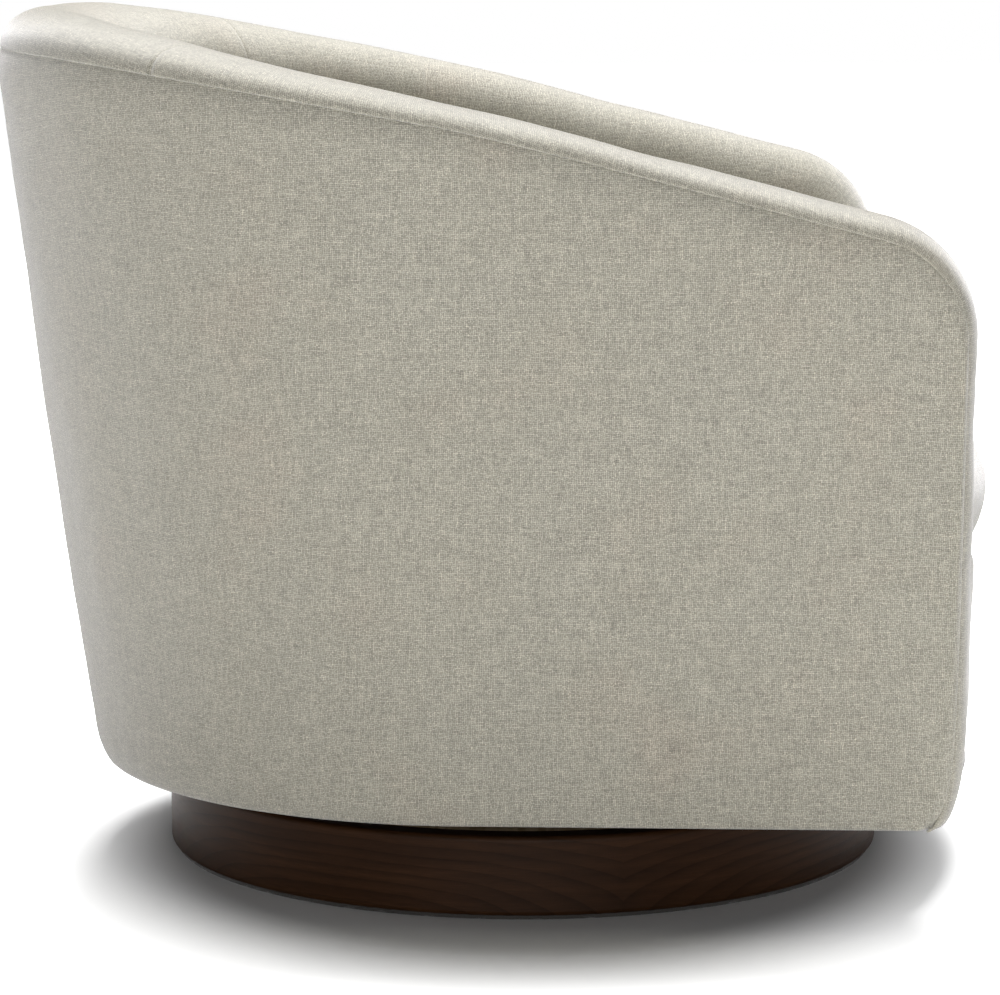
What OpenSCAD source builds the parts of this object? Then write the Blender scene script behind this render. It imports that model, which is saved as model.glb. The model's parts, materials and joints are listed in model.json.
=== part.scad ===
// Swivel barrel chair. The chair faces -Y, +Z is up, and the origin is on the floor on the swivel axis.

/* [Plinth] */
// Outer radius of the round wooden plinth
plinth_r = 293; // [285:1:300]
// Height of the plinth's top above the floor
plinth_h = 66; // [60:1:90]
// Wall thickness of the plinth ring
plinth_wall = 20; // [14:1:26]
// Rounding of the plinth ring's outer edges
plinth_edge_r = 4; // [2:0.5:6]
// Thickness of the round board that closes the plinth
plinth_board_t = 18; // [15:1:22]
// Thickness of the felt ring that the plinth stands on
felt_t = 3; // [2:0.5:4]
// Width of the felt ring
felt_w = 12; // [8:1:13]
// Width of the two crossed battens under the plinth's board
batten_w = 60; // [50:1:70]
// Thickness of the crossed battens
batten_t = 18; // [12:1:22]
// Size of the square glue blocks inside the plinth ring
block_s = 30; // [20:1:36]

/* [Swivel] */
// Height of the swivel unit from the plinth's board to the seat frame
swivel_h = 16; // [16:0.5:18]
// Side of the square swivel plates
plate_s = 200; // [190:1:220]
// Thickness of a swivel plate
plate_t = 3; // [2.5:0.5:3.5]
// Corner radius of a swivel plate
plate_corner_r = 14; // [8:1:20]
// Radius of the circle on which the balls run
ball_path_r = 62; // [50:1:66]
// Radius of a ball
ball_r = 4.5; // [4:0.1:4.8]
// Number of balls
ball_count = 22; // [12:1:26]
// Half the width of the raised race on a plate
race_half_w = 9; // [7:0.5:11]
// Height of the raised race on a plate
race_h = 3; // [2:0.5:3.5]
// Thickness of the ball cage
cage_t = 2; // [1.5:0.1:2.4]
// Radius of the swivel pivot's shank
pivot_r = 8; // [6:0.5:10]
// Distance of the plate bolts from the plate's middle lines
bolt_in = 82; // [76:1:84]
// Radius of a plate bolt's shank
bolt_r = 4; // [3:0.5:5]

/* [Shell outline] */
// Gap between the plinth's top and the lower hem of the shell
hem_gap = 13; // [11:1:14]
// Radius of the shell's rear circle at the hem
hem_r = 315; // [305:1:325]
// Distance of the rear circle's centre behind the swivel axis at the hem
hem_c = 36; // [30:1:45]
// How much the rear circle's radius grows from the hem to the top of the back
top_grow = 54; // [30:1:65]
// How far the rear circle's centre moves back from the hem to the top of the back
top_shift = 27; // [0:1:40]
// Outward splay of each arm towards the front, in degrees
splay = 4; // [2:0.5:6]
// Distance of the arms' front faces from the swivel axis
front_d = 327; // [315:1:335]
// Height of the crest of the back
back_h = 690; // [660:1:720]
// Height of the arms' crest beside the swivel axis
arm_h = 613; // [590:1:630]
// Height that the arms' falling crest would reach at their front faces
arm_front_h = 528; // [505:1:545]
// Distance behind the swivel axis at which the rising crest meets the level back
crest_run = 353; // [330:1:380]
// Length over which the rising crest blends into the level back
crest_blend = 6; // [3:1:12]
// Length over which the crest's slope changes beside the swivel axis
crest_bend = 20; // [10:1:40]
// Radius of the arms' upper front corner, seen from the side
corner_r = 92; // [75:1:115]
// Depth of the drawn-in lower front corner of each arm
toe_d = 16; // [8:1:30]
// Height of the drawn-in lower front corner of each arm
toe_h = 76; // [60:1:100]

/* [Shell thickness] */
// Thickness of the arms and the back at their top
top_t = 95; // [88:1:105]
// Thickness of the arms at the hem
arm_t = 84; // [80:1:95]
// Thickness of the back at the hem
back_t = 118; // [100:1:130]
// Height of the roll's crest over the outer seam on the arms
roll_rise = 14; // [10:1:20]
// Height of the roll's crest over the outer seam at the middle of the back
back_rise = 29; // [20:1:34]
// Height over which the roll's inner side falls from its crest
roll_drop = 46; // [35:1:55]
// How far the outer panel is drawn in at its seam
seam_in = 6; // [3:0.5:8]
// Height of the outer panel's curve below its seam
seam_curve_h = 30; // [15:1:40]
// How far the outer panel is drawn in at the hem
hem_in = 4; // [3:0.5:6]
// Height of the outer panel's curve above the hem
hem_curve_h = 22; // [14:1:28]
// Thickness of the woven cover fabric with its backing
cover_t = 2; // [1.5:0.1:2.2]
// Thickness of the wadding under the outer panel
wadding_t = 5.5; // [4:0.5:5.5]
// Thickness of the bent fibreboards in the shell
fibreboard_t = 3; // [2:0.5:3]

/* [Frame] */
// Thickness of the frame's bottom board
board_t = 18; // [15:1:21]
// Depth of the posts between the two fibreboards
post_d = 28; // [24:1:28]
// Width of a post
post_w = 45; // [30:1:60]
// Height of the seat ring and the front rail
rail_h = 140; // [120:1:150]
// Thickness of the seat ring and the front rail
rail_t = 25; // [20:1:28]
// Thickness of the top rail
top_rail_t = 18; // [15:1:21]
// Width of the top rail
top_rail_w = 22; // [18:1:24]
// Depth of the top rail's upper face under the crest
top_rail_under = 46; // [42:1:50]
// Thickness of the arms' front panels
panel_t = 18; // [15:1:18]
// How far the front rail's cover bows out between the arms
front_bow = 58; // [45:1:62]
// Thickness of the foam on the front rail
front_foam_t = 12; // [8:1:15]
// How far the front rail's cover stands ahead of the arms
rail_ahead = 40; // [34:1:46]
// Distance of the arms' front panels behind the arms' front faces
panel_back = 44; // [42:1:50]
// Radius of the opening in the dust cover around the swivel
dust_hole_r = 150; // [145:1:180]

/* [Seat] */
// Radius of the springs' wire
wire_r = 1.9; // [1.5:0.1:2.2]
// Width of a zigzag spring
spring_w = 46; // [36:1:50]
// Length of one zigzag of a spring
spring_pitch = 62; // [50:1:70]
// Thickness of the felt on the springs
deck_felt_t = 4; // [3:0.5:6]
// Thickness of the deck cloth
deck_cloth_t = 1.2; // [1:0.1:1.5]
// Crown height of the cushion over the deck
cushion_h = 170; // [150:1:185]
// Height of the cushion's widest line over the deck
cushion_nose_h = 54; // [45:1:60]
// How far the cushion's front stands ahead of the arms
cushion_ahead = 50; // [44:1:56]
// Room between the cushion and the arms
cushion_side_room = 4; // [3:0.5:8]
// Room between the cushion and the back
cushion_rear_room = 14; // [12:0.5:18]
// Radius of the cushion's front corners in plan
cushion_corner_r = 60; // [40:1:80]
// Radius of the cushion's bowed front edge in plan
cushion_front_r = 620; // [560:5:700]
// Width of the zip's tape
zip_w = 26; // [20:1:30]
// Thickness of the zip's tape
zip_t = 1.4; // [1:0.1:1.6]
// Width of the zip's row of teeth
teeth_w = 6; // [4:0.5:7]
// Radius of the curve along which the zip runs
zip_r = 300; // [295:1:320]
// Length of the zip along its curve
zip_l = 210; // [140:5:230]
// Width of the zip's slider
slider_w = 10; // [8:0.5:12]
// Thickness of the zip's slider
slider_t = 2.5; // [2:0.1:3]
// Length of the slider's pull tab
tab_l = 14; // [10:1:18]

/* [Hidden] */

// Clearance between soft layers that lie on each other
soft_gap = 0.3;
// Radial clearance of the pivot in the plates
run_gap = 0.05;
// Clearance between a ball and its race
race_gap = 0.1;
// Clearance of a glued or bolted wooden joint
wood_gap = 0.2;
// Overrun of a cutting shape past the face that it cuts
cut = 1;
// Facets of round shapes
$fn = 48;

// Thickness of a spring clip under the wire
clip_base = 0.8;

// Heights
hem_z = plinth_h + hem_gap;
board_z = plinth_h + swivel_h;
floor_z = board_z + board_t;
rail_z = floor_z + rail_h;
wire_z = rail_z + clip_base + race_gap + wire_r;
felt_z = wire_z + wire_r + soft_gap;
cloth_z = felt_z + deck_felt_t + soft_gap;
deck_z = cloth_z + deck_cloth_t;
cushion_z = deck_z + soft_gap;
ball_z = plinth_h + swivel_h / 2;
toe_z = hem_z + toe_h;

// Fall of the arms' crest towards the front, in degrees
arm_fall = atan((arm_h - arm_front_h) / front_d);

// Share of the lean reached at a height, with more lean low down
lean_power = 0.93;
function lean(z) = pow(max(0, (z - hem_z) / (back_h - hem_z)), lean_power);
function ring_r(z) = hem_r + top_grow * lean(z);
function ring_c(z) = hem_c + top_shift * lean(z);

// Outer half width of the arms at a height, at a distance y along the chair
function arm_x(y, z) =
    ring_r(z) * cos(splay) + (ring_c(z) + ring_r(z) * sin(splay) - y) * tan(splay);

// Plan place of the shell at a station, a height and a depth under the outer face.
// On the rear circle y is undef, and along an arm the angle is the splay.
function place(angle, y, z, depth) =
    is_undef(y)
    ? [(ring_r(z) - depth) * cos(angle), ring_c(z) + (ring_r(z) - depth) * sin(angle), z]
    : [arm_x(y, z) - depth / cos(splay), y, z];

// Thickness of the shell at a station's angle and a height
function thick(angle, z) =
    let (low = arm_t + (back_t - arm_t) * pow(sin(angle), 2))
    low + (top_t - low) * min(1, max(0, (z - hem_z) / (back_h - hem_z)));

// Zero for a negative value and the value itself for a positive one, with a soft turn between them
function soft_rise(value, blend) = max(0, value) + blend * ln(1 + exp(-abs(value) / blend));

// Height of the crest at a distance y along the chair, with a soft turn into the level back
rear_rise = (back_h - arm_h) / crest_run;
function crest(y) =
    let (sloping = arm_h + rear_rise * soft_rise(y, crest_bend) - tan(arm_fall) * soft_rise(-y, crest_bend))
    sloping - soft_rise(sloping - back_h, crest_blend);

function mix(a, b, share) = a + (b - a) * share;

// Rise of the roll at a station's angle
function rise(angle) = mix(roll_rise, back_rise, pow(sin(angle), 2));

// Stations run from the middle of the back to the foot of the right arm's front. Each is
// [angle, y, z, up, toe_share, drop, rise]: where the outer seam lies, which way the roll rises from it, how
// far the station is along the arm's front, how deep the roll's inner side falls, and how high its crest is.
back_steps = 9;
arm_steps = 4;
corner_steps = 5;
front_steps = 3;
toe_steps = 4;
seam_front = front_d - roll_rise;
corner_y = corner_r - front_d;
corner_z = arm_h + corner_y * tan(arm_fall) - corner_r / cos(arm_fall);
seam_r = corner_r - roll_rise;
side_y = ring_c(arm_h) + ring_r(arm_h) * sin(splay);
bend_y = corner_y - seam_r * sin(arm_fall);
last_arm_y = mix(side_y, bend_y, (arm_steps - 1) / arm_steps);
hem_front_y = toe_d - seam_front;
front_count = corner_steps + 1 + front_steps + toe_steps;
low_drop_share = 0.6;
low_drop = mix(roll_rise, roll_drop, low_drop_share);

back_stations = [for (i = [0:back_steps])
    let (angle = mix(90, splay, i / back_steps))
    let (mid_y = ring_c(arm_h) + (ring_r(arm_h) - top_t / 2) * sin(angle))
    [angle, undef, crest(mid_y) - rise(angle), [0, 0, 1], 0, roll_drop, rise(angle)]];
arm_stations = [for (i = [1:arm_steps - 1])
    let (y = mix(side_y, bend_y, i / arm_steps))
    [splay, y, crest(y) - roll_rise / cos(arm_fall), [0, -sin(arm_fall), cos(arm_fall)], 0,
        roll_drop, roll_rise]];
corner_stations = [for (i = [0:corner_steps])
    let (turn = mix(arm_fall, 90, i / corner_steps))
    [splay, corner_y - seam_r * sin(turn), corner_z + seam_r * cos(turn), [0, -sin(turn), cos(turn)],
        (i + 1) / front_count, roll_drop, roll_rise]];
front_stations = [for (i = [1:front_steps])
    [splay, -seam_front, mix(corner_z, toe_z, i / front_steps), [0, -1, 0],
        (i + 1 + corner_steps) / front_count, mix(roll_drop, low_drop, i / front_steps), roll_rise]];
toe_stations = [for (i = [1:toe_steps])
    let (turn = 90 * i / toe_steps)
    [splay, toe_d * (1 - cos(turn)) - seam_front, toe_z - toe_h * sin(turn), [0, -1, 0],
        (i + 1 + corner_steps + front_steps) / front_count, low_drop, roll_rise]];
upper_stations = concat(back_stations, arm_stations);
side_stations = concat(upper_stations, corner_stations, front_stations);
stations = concat(side_stations, toe_stations);

// Where a station's column of points ends low down, a distance back from the foot of the arm's front
function low_y(s, back) =
    is_undef(s[1]) ? undef : s[4] == 0 ? s[1] : mix(last_arm_y, hem_front_y + back, s[4]);

// Plan and height of a point that is a share of the way down a station's column
function down(s, share, from, low_z, back) =
    let (z = mix(s[2] + s[3].z * from, low_z, share))
    let (y = is_undef(s[1]) ? undef : mix(s[1] + s[3].y * from, low_y(s, back), share))
    [s[0], y, z];

// Shares of the outer panel's height at which its columns have a point
panel_shares = [0, 0.025, 0.06, 0.3, 0.6, 0.93, 0.975, 1];
// Shares for the plainer layers inside
inside_shares = [0, 0.25, 0.5, 0.75, 1];

// Draw of the outer face at a distance below the seam and above the hem
function draw_in(below, above) =
    seam_in * pow(max(0, 1 - below / seam_curve_h), 2) + hem_in * pow(max(0, 1 - above / hem_curve_h), 2);

function outer_column(s, depth, from, back) =
    let (long = norm([is_undef(s[1]) ? 0 : s[1] - low_y(s, back), s[2] - hem_z]))
    [for (share = panel_shares)
        let (p = down(s, share, from, hem_z, back))
        place(p[0], p[1], p[2], depth + draw_in(share * long, p[2] - hem_z))];

// A column of a layer at a depth under the outer face, or over the inner face where depth is negative
function layer_column(s, depth, low_z) =
    [for (share = inside_shares)
        let (p = down(s, share, layer_top, low_z, 0))
        place(p[0], p[1], p[2], depth < 0 ? thick(p[0], p[2]) + depth : depth)];

// A point over a station's seam: a share of the way across the shell, at an offset along the rise
function across(s, share, offset, depth) =
    let (y = is_undef(s[1]) ? undef : s[1] + s[3].y * offset)
    let (z = s[2] + s[3].z * offset)
    place(s[0], y, z, mix(seam_in + depth, thick(s[0], z) - depth, share));

// Points over the roll, from the outer seam over the crest to the inner side, a depth under the skin
arch_steps = 4;
function roll_points(s, depth) =
    concat(
        [for (i = [0:arch_steps])
            let (turn = 90 * i / arch_steps)
            across(s, (1 - cos(turn)) / 2, (s[6] - depth) * sin(turn), depth)],
        [for (i = [1:arch_steps])
            let (turn = 90 * i / arch_steps)
            let (offset = s[6] - depth - (s[5] - depth) * (1 - cos(turn)))
            across(s, (1 + sin(turn)) / 2, offset, depth)]);

function inner_column(s, depth, back) =
    concat(
        roll_points(s, depth),
        [for (i = [1:len(inside_shares) - 1])
            let (p = down(s, inside_shares[i], s[6] - s[5], tuck_z, back))
            place(p[0], p[1], p[2], thick(p[0], p[2]) - depth)]);

// Both halves of the shell from the columns of its right half
function both_sides(half) =
    concat([for (i = [len(half) - 1:-1:1]) [for (p = half[i]) [-p.x, p.y, p.z]]], half);

function joined(lists) = [for (list = lists) each list];

// A sheet between two grids of points, closed along its four edges
module sheet(near, far) {
    columns = len(near);
    rows = len(near[0]);
    all = columns * rows;
    grid = [for (i = [0:columns - 2], j = [0:rows - 2]) i * rows + j];
    face = [for (k = grid) each [[k, k + rows, k + rows + 1], [k, k + rows + 1, k + 1]]];
    back = [for (f = face) [f[0] + all, f[2] + all, f[1] + all]];
    start = [for (j = [0:rows - 2]) each [[j, j + 1, j + all], [j + 1, j + 1 + all, j + all]]];
    last = all - rows;
    end = [for (j = [last:last + rows - 2]) each [[j, j + all, j + 1], [j + 1, j + all, j + 1 + all]]];
    top = [for (i = [0:columns - 2]) let (k = i * rows)
        each [[k, k + all, k + rows], [k + rows, k + all, k + rows + all]]];
    low = [for (i = [0:columns - 2]) let (k = i * rows + rows - 1)
        each [[k, k + rows, k + all], [k + rows, k + rows + all, k + all]]];
    polyhedron(concat(joined(near), joined(far)), concat(face, back, start, end, top, low));
}

// A solid through rings of points, with a flat end at each end
module loft(rings) {
    sides = len(rings[0]);
    final = (len(rings) - 1) * sides;
    wall = [for (i = [0:len(rings) - 2], j = [0:sides - 1])
        let (a = i * sides + j)
        let (b = i * sides + (j + 1) % sides)
        each [[a, b, a + sides], [b, b + sides, a + sides]]];
    first_end = [for (j = [1:sides - 2]) [0, j + 1, j]];
    last_end = [for (j = [1:sides - 2]) [final, final + j, final + j + 1]];
    polyhedron(joined(rings), concat(wall, first_end, last_end));
}

// Depths of the shell's layers under its outer face
layer_gap = 0.9;
facet_gap = 1.2;
panel_gap = 0.7;
post_room = 2.4;
wadding_in = cover_t + facet_gap;
outer_board_in = wadding_in + wadding_t + layer_gap;
frame_in = outer_board_in + fibreboard_t + layer_gap;
post_in = frame_in + post_room;
inner_board_in = post_in + post_d + 2 * post_room;
foam_in = inner_board_in + fibreboard_t + layer_gap;
skin_in = cover_t + layer_gap;

// Places that the shell's pieces share
tuck_z = floor_z + layer_gap;
tuck_room = 6;
layer_low = hem_z + hem_curve_h + 2 * tuck_room;
layer_top = -seam_curve_h - tuck_room;
flap_back = low_drop - roll_rise + tuck_room;
layer_stations = concat(upper_stations,
    [for (i = [0:1]) let (s = corner_stations[i]) [s[0], s[1], s[2], s[3], 0, s[5], s[6]]]);
far = hem_r + front_d;
panel_y = panel_back - front_d;
function rail_top(y) = min(arm_h + y * (y < 0 ? tan(arm_fall) : rear_rise), back_h) - top_rail_under;

// Inner half width between the arms near their fronts
function inner_x(y, z) = arm_x(y, z) - thick(splay, z) / cos(splay);

// The front between the arms is a bow about the point bow_y
rail_end_x = inner_x(panel_y, hem_z) - facet_gap;
bow_half = inner_x(-front_d, hem_z);
bow_r = (pow(bow_half, 2) + pow(front_bow, 2)) / front_bow / 2;
bow_y = bow_r - front_d - rail_ahead;
front_rail_r = bow_r - cover_t - front_foam_t - 2 * soft_gap;
clip_place_share = 0.6;
clip_line_r = front_rail_r - clip_place_share * rail_t;
border_w = cover_t + front_foam_t + rail_t + tuck_room;

module wood(shade) { color([0.20, 0.125, 0.08] * shade) children(); }
module pine() { color([0.80, 0.66, 0.47]) children(); }
module steel() { color([0.62, 0.63, 0.65]) children(); }
module linen() { color([0.66, 0.64, 0.59]) children(); }

// A ring with a rectangular section
module ring(outer_r, inner_r, high) {
    linear_extrude(high)
        difference() {
            circle(outer_r);
            circle(inner_r);
        }
}

module four_ways(distance) {
    for (x = [-1, 1], y = [-1, 1])
        translate([x * distance, y * distance, 0])
            children();
}

module floor_felt() {
    middle_r = plinth_r - plinth_wall / 2;
    color([0.15, 0.14, 0.13])
        ring(middle_r + felt_w / 2, middle_r - felt_w / 2, felt_t);
}

module plinth_ring() {
    wood(1) rotate_extrude() {
        translate([plinth_r - plinth_wall, felt_t])
            square([plinth_wall - plinth_edge_r, plinth_h - felt_t]);
        translate([plinth_r - plinth_edge_r - wood_gap, felt_t + plinth_edge_r])
            square([plinth_edge_r + wood_gap, plinth_h - felt_t - 2 * plinth_edge_r]);
        for (z = [felt_t + plinth_edge_r, plinth_h - plinth_edge_r])
            translate([plinth_r - plinth_edge_r, z])
                circle(plinth_edge_r);
    }
}

module plinth_board() {
    wood(0.9) difference() {
        translate([0, 0, plinth_h - plinth_board_t])
            cylinder(h = plinth_board_t, r = plinth_r - plinth_wall - wood_gap);
        translate([0, 0, plinth_h - plinth_board_t - cut])
            cylinder(h = plinth_board_t + 2 * cut, r = washer_r + pivot_room);
        translate([0, 0, plinth_h - plinth_board_t - cut])
            four_ways(bolt_in)
                cylinder(h = plinth_board_t + 2 * cut, r = nut_barrel_r + wood_gap);
    }
}

// One batten along X, with the half of its thickness cut away over the crossing
module batten(cut_low) {
    long = 2 * sqrt(pow(plinth_r - plinth_wall - wood_gap, 2) - pow(batten_w / 2, 2));
    half = batten_w / 2 + wood_gap;
    deep = (batten_t + wood_gap) / 2;
    difference() {
        translate([-long / 2, -batten_w / 2, 0])
            cube([long, batten_w, batten_t]);
        translate([-half, -half, cut_low ? -cut : batten_t - deep])
            cube([2 * half, 2 * half, deep + cut]);
    }
}

module plinth_battens() {
    pine() translate([0, 0, plinth_h - plinth_board_t - batten_t]) {
        batten(true);
        rotate([0, 0, 90])
            batten(false);
    }
}

module plinth_blocks() {
    block_count = 8;
    reach = sqrt(pow(plinth_r - plinth_wall - wood_gap, 2) - pow(block_s / 2, 2));
    pine() for (i = [0:block_count - 1])
        rotate([0, 0, 360 * (i + 0.5) / block_count])
            translate([reach - block_s, -block_s / 2, plinth_h - plinth_board_t - block_s])
                cube([block_s, block_s, block_s]);
}

// Sizes of the swivel's fasteners
washer_r = 18;
washer_t = 3;
pivot_room = 4;
pivot_head_r = 14;
pivot_head_h = 5;
pivot_nut_r = 14;
pivot_nut_h = 9;
bolt_head_r = 7;
bolt_head_h = 4;
nut_barrel_r = 5.6;
nut_barrel_h = 12;
nut_flange_r = 11;
nut_flange_t = 1.5;

// A plate with its flat side down and its race up, on the plane z = 0
module swivel_plate() {
    half = plate_s / 2 - plate_corner_r;
    difference() {
        union() {
            linear_extrude(plate_t) {
                square([plate_s, 2 * half], center = true);
                square([2 * half, plate_s], center = true);
                four_ways(half)
                    circle(plate_corner_r);
            }
            ring(ball_path_r + race_half_w, ball_path_r - race_half_w, plate_t + race_h);
        }
        translate([0, 0, -cut])
            cylinder(h = plate_t + 2 * cut, r = pivot_r + run_gap);
        translate([0, 0, -cut])
            four_ways(bolt_in)
                cylinder(h = plate_t + 2 * cut, r = bolt_r + wood_gap);
        translate([0, 0, swivel_h / 2])
            rotate_extrude()
                translate([ball_path_r, 0])
                    circle(ball_r + race_gap);
    }
}

module swivel_lower_plate() {
    steel() translate([0, 0, plinth_h])
        swivel_plate();
}

module swivel_upper_plate() {
    steel() translate([0, 0, board_z])
        mirror([0, 0, 1])
            swivel_plate();
}

// A bolt with its head's underside on z = 0 and its shank below
module bolt(shank) {
    cylinder(h = bolt_head_h, r = bolt_head_r);
    translate([0, 0, -shank])
        cylinder(h = shank + bolt_head_h / 2, r = bolt_r);
}

// A flanged nut with its flange's upper side on z = 0 and its barrel above
module barrel_nut() {
    difference() {
        union() {
            translate([0, 0, -nut_flange_t])
                cylinder(h = nut_flange_t, r = nut_flange_r);
            translate([0, 0, -nut_flange_t])
                cylinder(h = nut_barrel_h + nut_flange_t, r = nut_barrel_r);
        }
        translate([0, 0, -nut_flange_t - cut])
            cylinder(h = nut_barrel_h + nut_flange_t + 2 * cut, r = bolt_r + wood_gap);
    }
}

module lower_plate_bolts() {
    steel() translate([0, 0, plinth_h + plate_t])
        four_ways(bolt_in)
            bolt(plate_t + plinth_board_t);
}

module lower_plate_nuts() {
    steel() translate([0, 0, plinth_h - plinth_board_t])
        four_ways(bolt_in)
            barrel_nut();
}

module upper_plate_bolts() {
    steel() translate([0, 0, board_z - plate_t])
        mirror([0, 0, 1])
            four_ways(bolt_in)
                bolt(plate_t + board_t);
}

module upper_plate_nuts() {
    steel() translate([0, 0, floor_z])
        mirror([0, 0, 1])
            four_ways(bolt_in)
                barrel_nut();
}

module swivel_balls() {
    color([0.75, 0.76, 0.78]) for (i = [0:ball_count - 1])
        rotate([0, 0, 360 * i / ball_count])
            translate([ball_path_r, 0, ball_z])
                sphere(ball_r);
}

module ball_cage() {
    half = race_half_w - wood_gap;
    color([0.85, 0.80, 0.62]) difference() {
        translate([0, 0, ball_z - cage_t / 2])
            ring(ball_path_r + half, ball_path_r - half, cage_t);
        for (i = [0:ball_count - 1])
            rotate([0, 0, 360 * i / ball_count])
                translate([ball_path_r, 0, ball_z - cage_t])
                    cylinder(h = 2 * cage_t, r = ball_r + wood_gap);
    }
}

module swivel_pivot() {
    low = plinth_h - soft_gap - washer_t - pivot_nut_h - bolt_r / 2;
    steel() translate([0, 0, low])
        cylinder(h = board_z - low + pivot_head_h / 2, r = pivot_r);
    steel() translate([0, 0, board_z])
        cylinder(h = pivot_head_h, r = pivot_head_r);
}

module pivot_washer() {
    steel() translate([0, 0, plinth_h - soft_gap - washer_t])
        ring(washer_r, pivot_r + run_gap, washer_t);
}

module pivot_nut() {
    steel() translate([0, 0, plinth_h - soft_gap - washer_t - pivot_nut_h])
        difference() {
            cylinder(h = pivot_nut_h, r = pivot_nut_r, $fn = 6);
            translate([0, 0, -cut])
                cylinder(h = pivot_nut_h + 2 * cut, r = pivot_r + run_gap);
        }
}

// A slab with the shell's plan at a height, a depth in, with the arms ending at a front line.
// The arms start a little behind the places where their sides touch the rear circle.
module shell_slab(z, depth, front, high) {
    r = ring_r(z) - depth;
    start = [r * cos(2 * splay), ring_c(z) + r * sin(2 * splay)];
    front_x = arm_x(front, z) - depth / cos(splay);
    translate([0, ring_c(z), 0])
        cylinder(h = high, r = r);
    linear_extrude(high)
        polygon([start, [front_x, front], [-front_x, front], [-start.x, start.y]]);
}

bow_facets = 240;

module bow_circle(r) {
    translate([0, bow_y])
        circle(r, $fn = bow_facets);
}

// Plan between the arms, from the rear to the bowed front
module between(half, r) {
    intersection() {
        translate([-half, -far])
            square([2 * half, far]);
        bow_circle(r);
    }
}

// Inner plan of the shell at a height, drawn in by a distance, down to the arm panels
function inner_plan(z, extra) =
    let (ends = concat(upper_stations, [[splay, panel_y]]))
    let (half = [for (s = ends) [for (i = [0:1]) place(s[0], s[1], z, thick(s[0], z) + extra)[i]]])
    concat(half, [for (i = [len(half) - 1:-1:1]) [-half[i].x, half[i].y]]);

// Half width of the board and the dust cover where they reach forward between the arms
tongue_x = inner_x(panel_y, hem_z) - facet_gap - tuck_room;

// Room beside that, in which the inner cover's lower front corners hang
slot_w = 24;

module flap_room(high) {
    reach = tongue_x + slot_w;
    translate([-reach, -far, -cut])
        cube([2 * reach, far + hem_front_y + flap_back + tuck_room, high + 2 * cut]);
}

module bottom_board() {
    pine() translate([0, 0, board_z])
        difference() {
            union() {
                difference() {
                    shell_slab(layer_low, frame_in + facet_gap / 2, hem_front_y - tuck_room, board_t);
                    flap_room(board_t);
                }
                linear_extrude(board_t)
                    between(tongue_x, front_rail_r);
            }
            translate([0, 0, -cut])
                cylinder(h = board_t + 2 * cut, r = pivot_head_r + pivot_room);
            translate([0, 0, -cut])
                four_ways(bolt_in)
                    cylinder(h = board_t + 2 * cut, r = nut_barrel_r + wood_gap);
        }
}

// Half width between the seat ring's two arms where they are nearest each other
ring_front_x = inner_x(side_y, floor_z) - facet_gap - rail_t;

module seat_ring() {
    pine() translate([0, 0, floor_z])
        linear_extrude(rail_h)
            intersection() {
                difference() {
                    polygon(inner_plan(floor_z, facet_gap));
                    polygon(inner_plan(floor_z, facet_gap + rail_t));
                    translate([-ring_front_x, -far])
                        square([2 * ring_front_x, far]);
                }
                bow_circle(front_rail_r - rail_t - wood_gap);
            }
}

module front_rail() {
    pine() translate([0, 0, floor_z])
        linear_extrude(rail_h)
            difference() {
                between(rail_end_x, front_rail_r);
                bow_circle(front_rail_r - rail_t);
            }
}

// Everything over a plane that lies a depth under the top rail's upper face
module over_slope(depth) {
    rotate([90, 0, 90])
        translate([0, 0, -far])
            linear_extrude(2 * far)
                polygon([
                    [-far, rail_top(-far) - depth], [0, rail_top(0) - depth],
                    [crest_run, rail_top(crest_run) - depth],
                    [far, rail_top(far) - depth], [far, back_h + far], [-far, back_h + far]
                ]);
}

// Distance of the shell's outer face from the origin along a station's outward line
function wall_reach(angle, z) = ring_r(z) + ring_c(z) * sin(angle);

// A leaning post, whose sides follow the shell, at an angle and a place along the wall
module post(angle, along) {
    section = [for (z = [floor_z, back_h], depth = [post_in, post_in + post_d])
        [wall_reach(angle, z) - depth, z]];
    rotate([0, 0, angle])
        translate([0, along, 0])
            rotate([90, 0, 0])
                translate([0, 0, -post_w / 2])
                    linear_extrude(post_w)
                        polygon([section[0], section[2], section[3], section[1]]);
}

module frame_posts() {
    post_angle_shares = [0.3, 0.75];
    arm_post_share = 0.6;
    mid_z = (floor_z + arm_h) / 2;
    arm_y = mix(side_y, bend_y, arm_post_share);
    pine() difference() {
        for (side = [0, 1])
            mirror([side, 0, 0]) {
                for (share = post_angle_shares)
                    post(90 * (1 - share), ring_c(mid_z) * cos(90 * (1 - share)));
                post(splay, arm_y * cos(splay) - arm_x(arm_y, mid_z) * sin(splay));
            }
        over_slope(top_rail_t);
    }
}

// What is cut off the frame to round the arms' upper front corners
module corner_cut() {
    depth = corner_y - panel_y + cut;
    rotate([90, 0, 90])
        translate([corner_y, corner_z, -far])
            difference() {
                translate([-depth, 0, 0])
                    cube([depth, depth, 2 * far]);
                translate([0, 0, -cut])
                    cylinder(h = 2 * far + 2 * cut, r = corner_y - panel_y);
            }
}

// The top rail bends round the back and runs straight along the arms
top_rail_in = post_in + facet_gap;
plan_z_share = 0.25;
function top_rail_x(y, depth) = arm_x(y, rail_top(y) - top_rail_t / 2) - depth / cos(splay);

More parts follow.
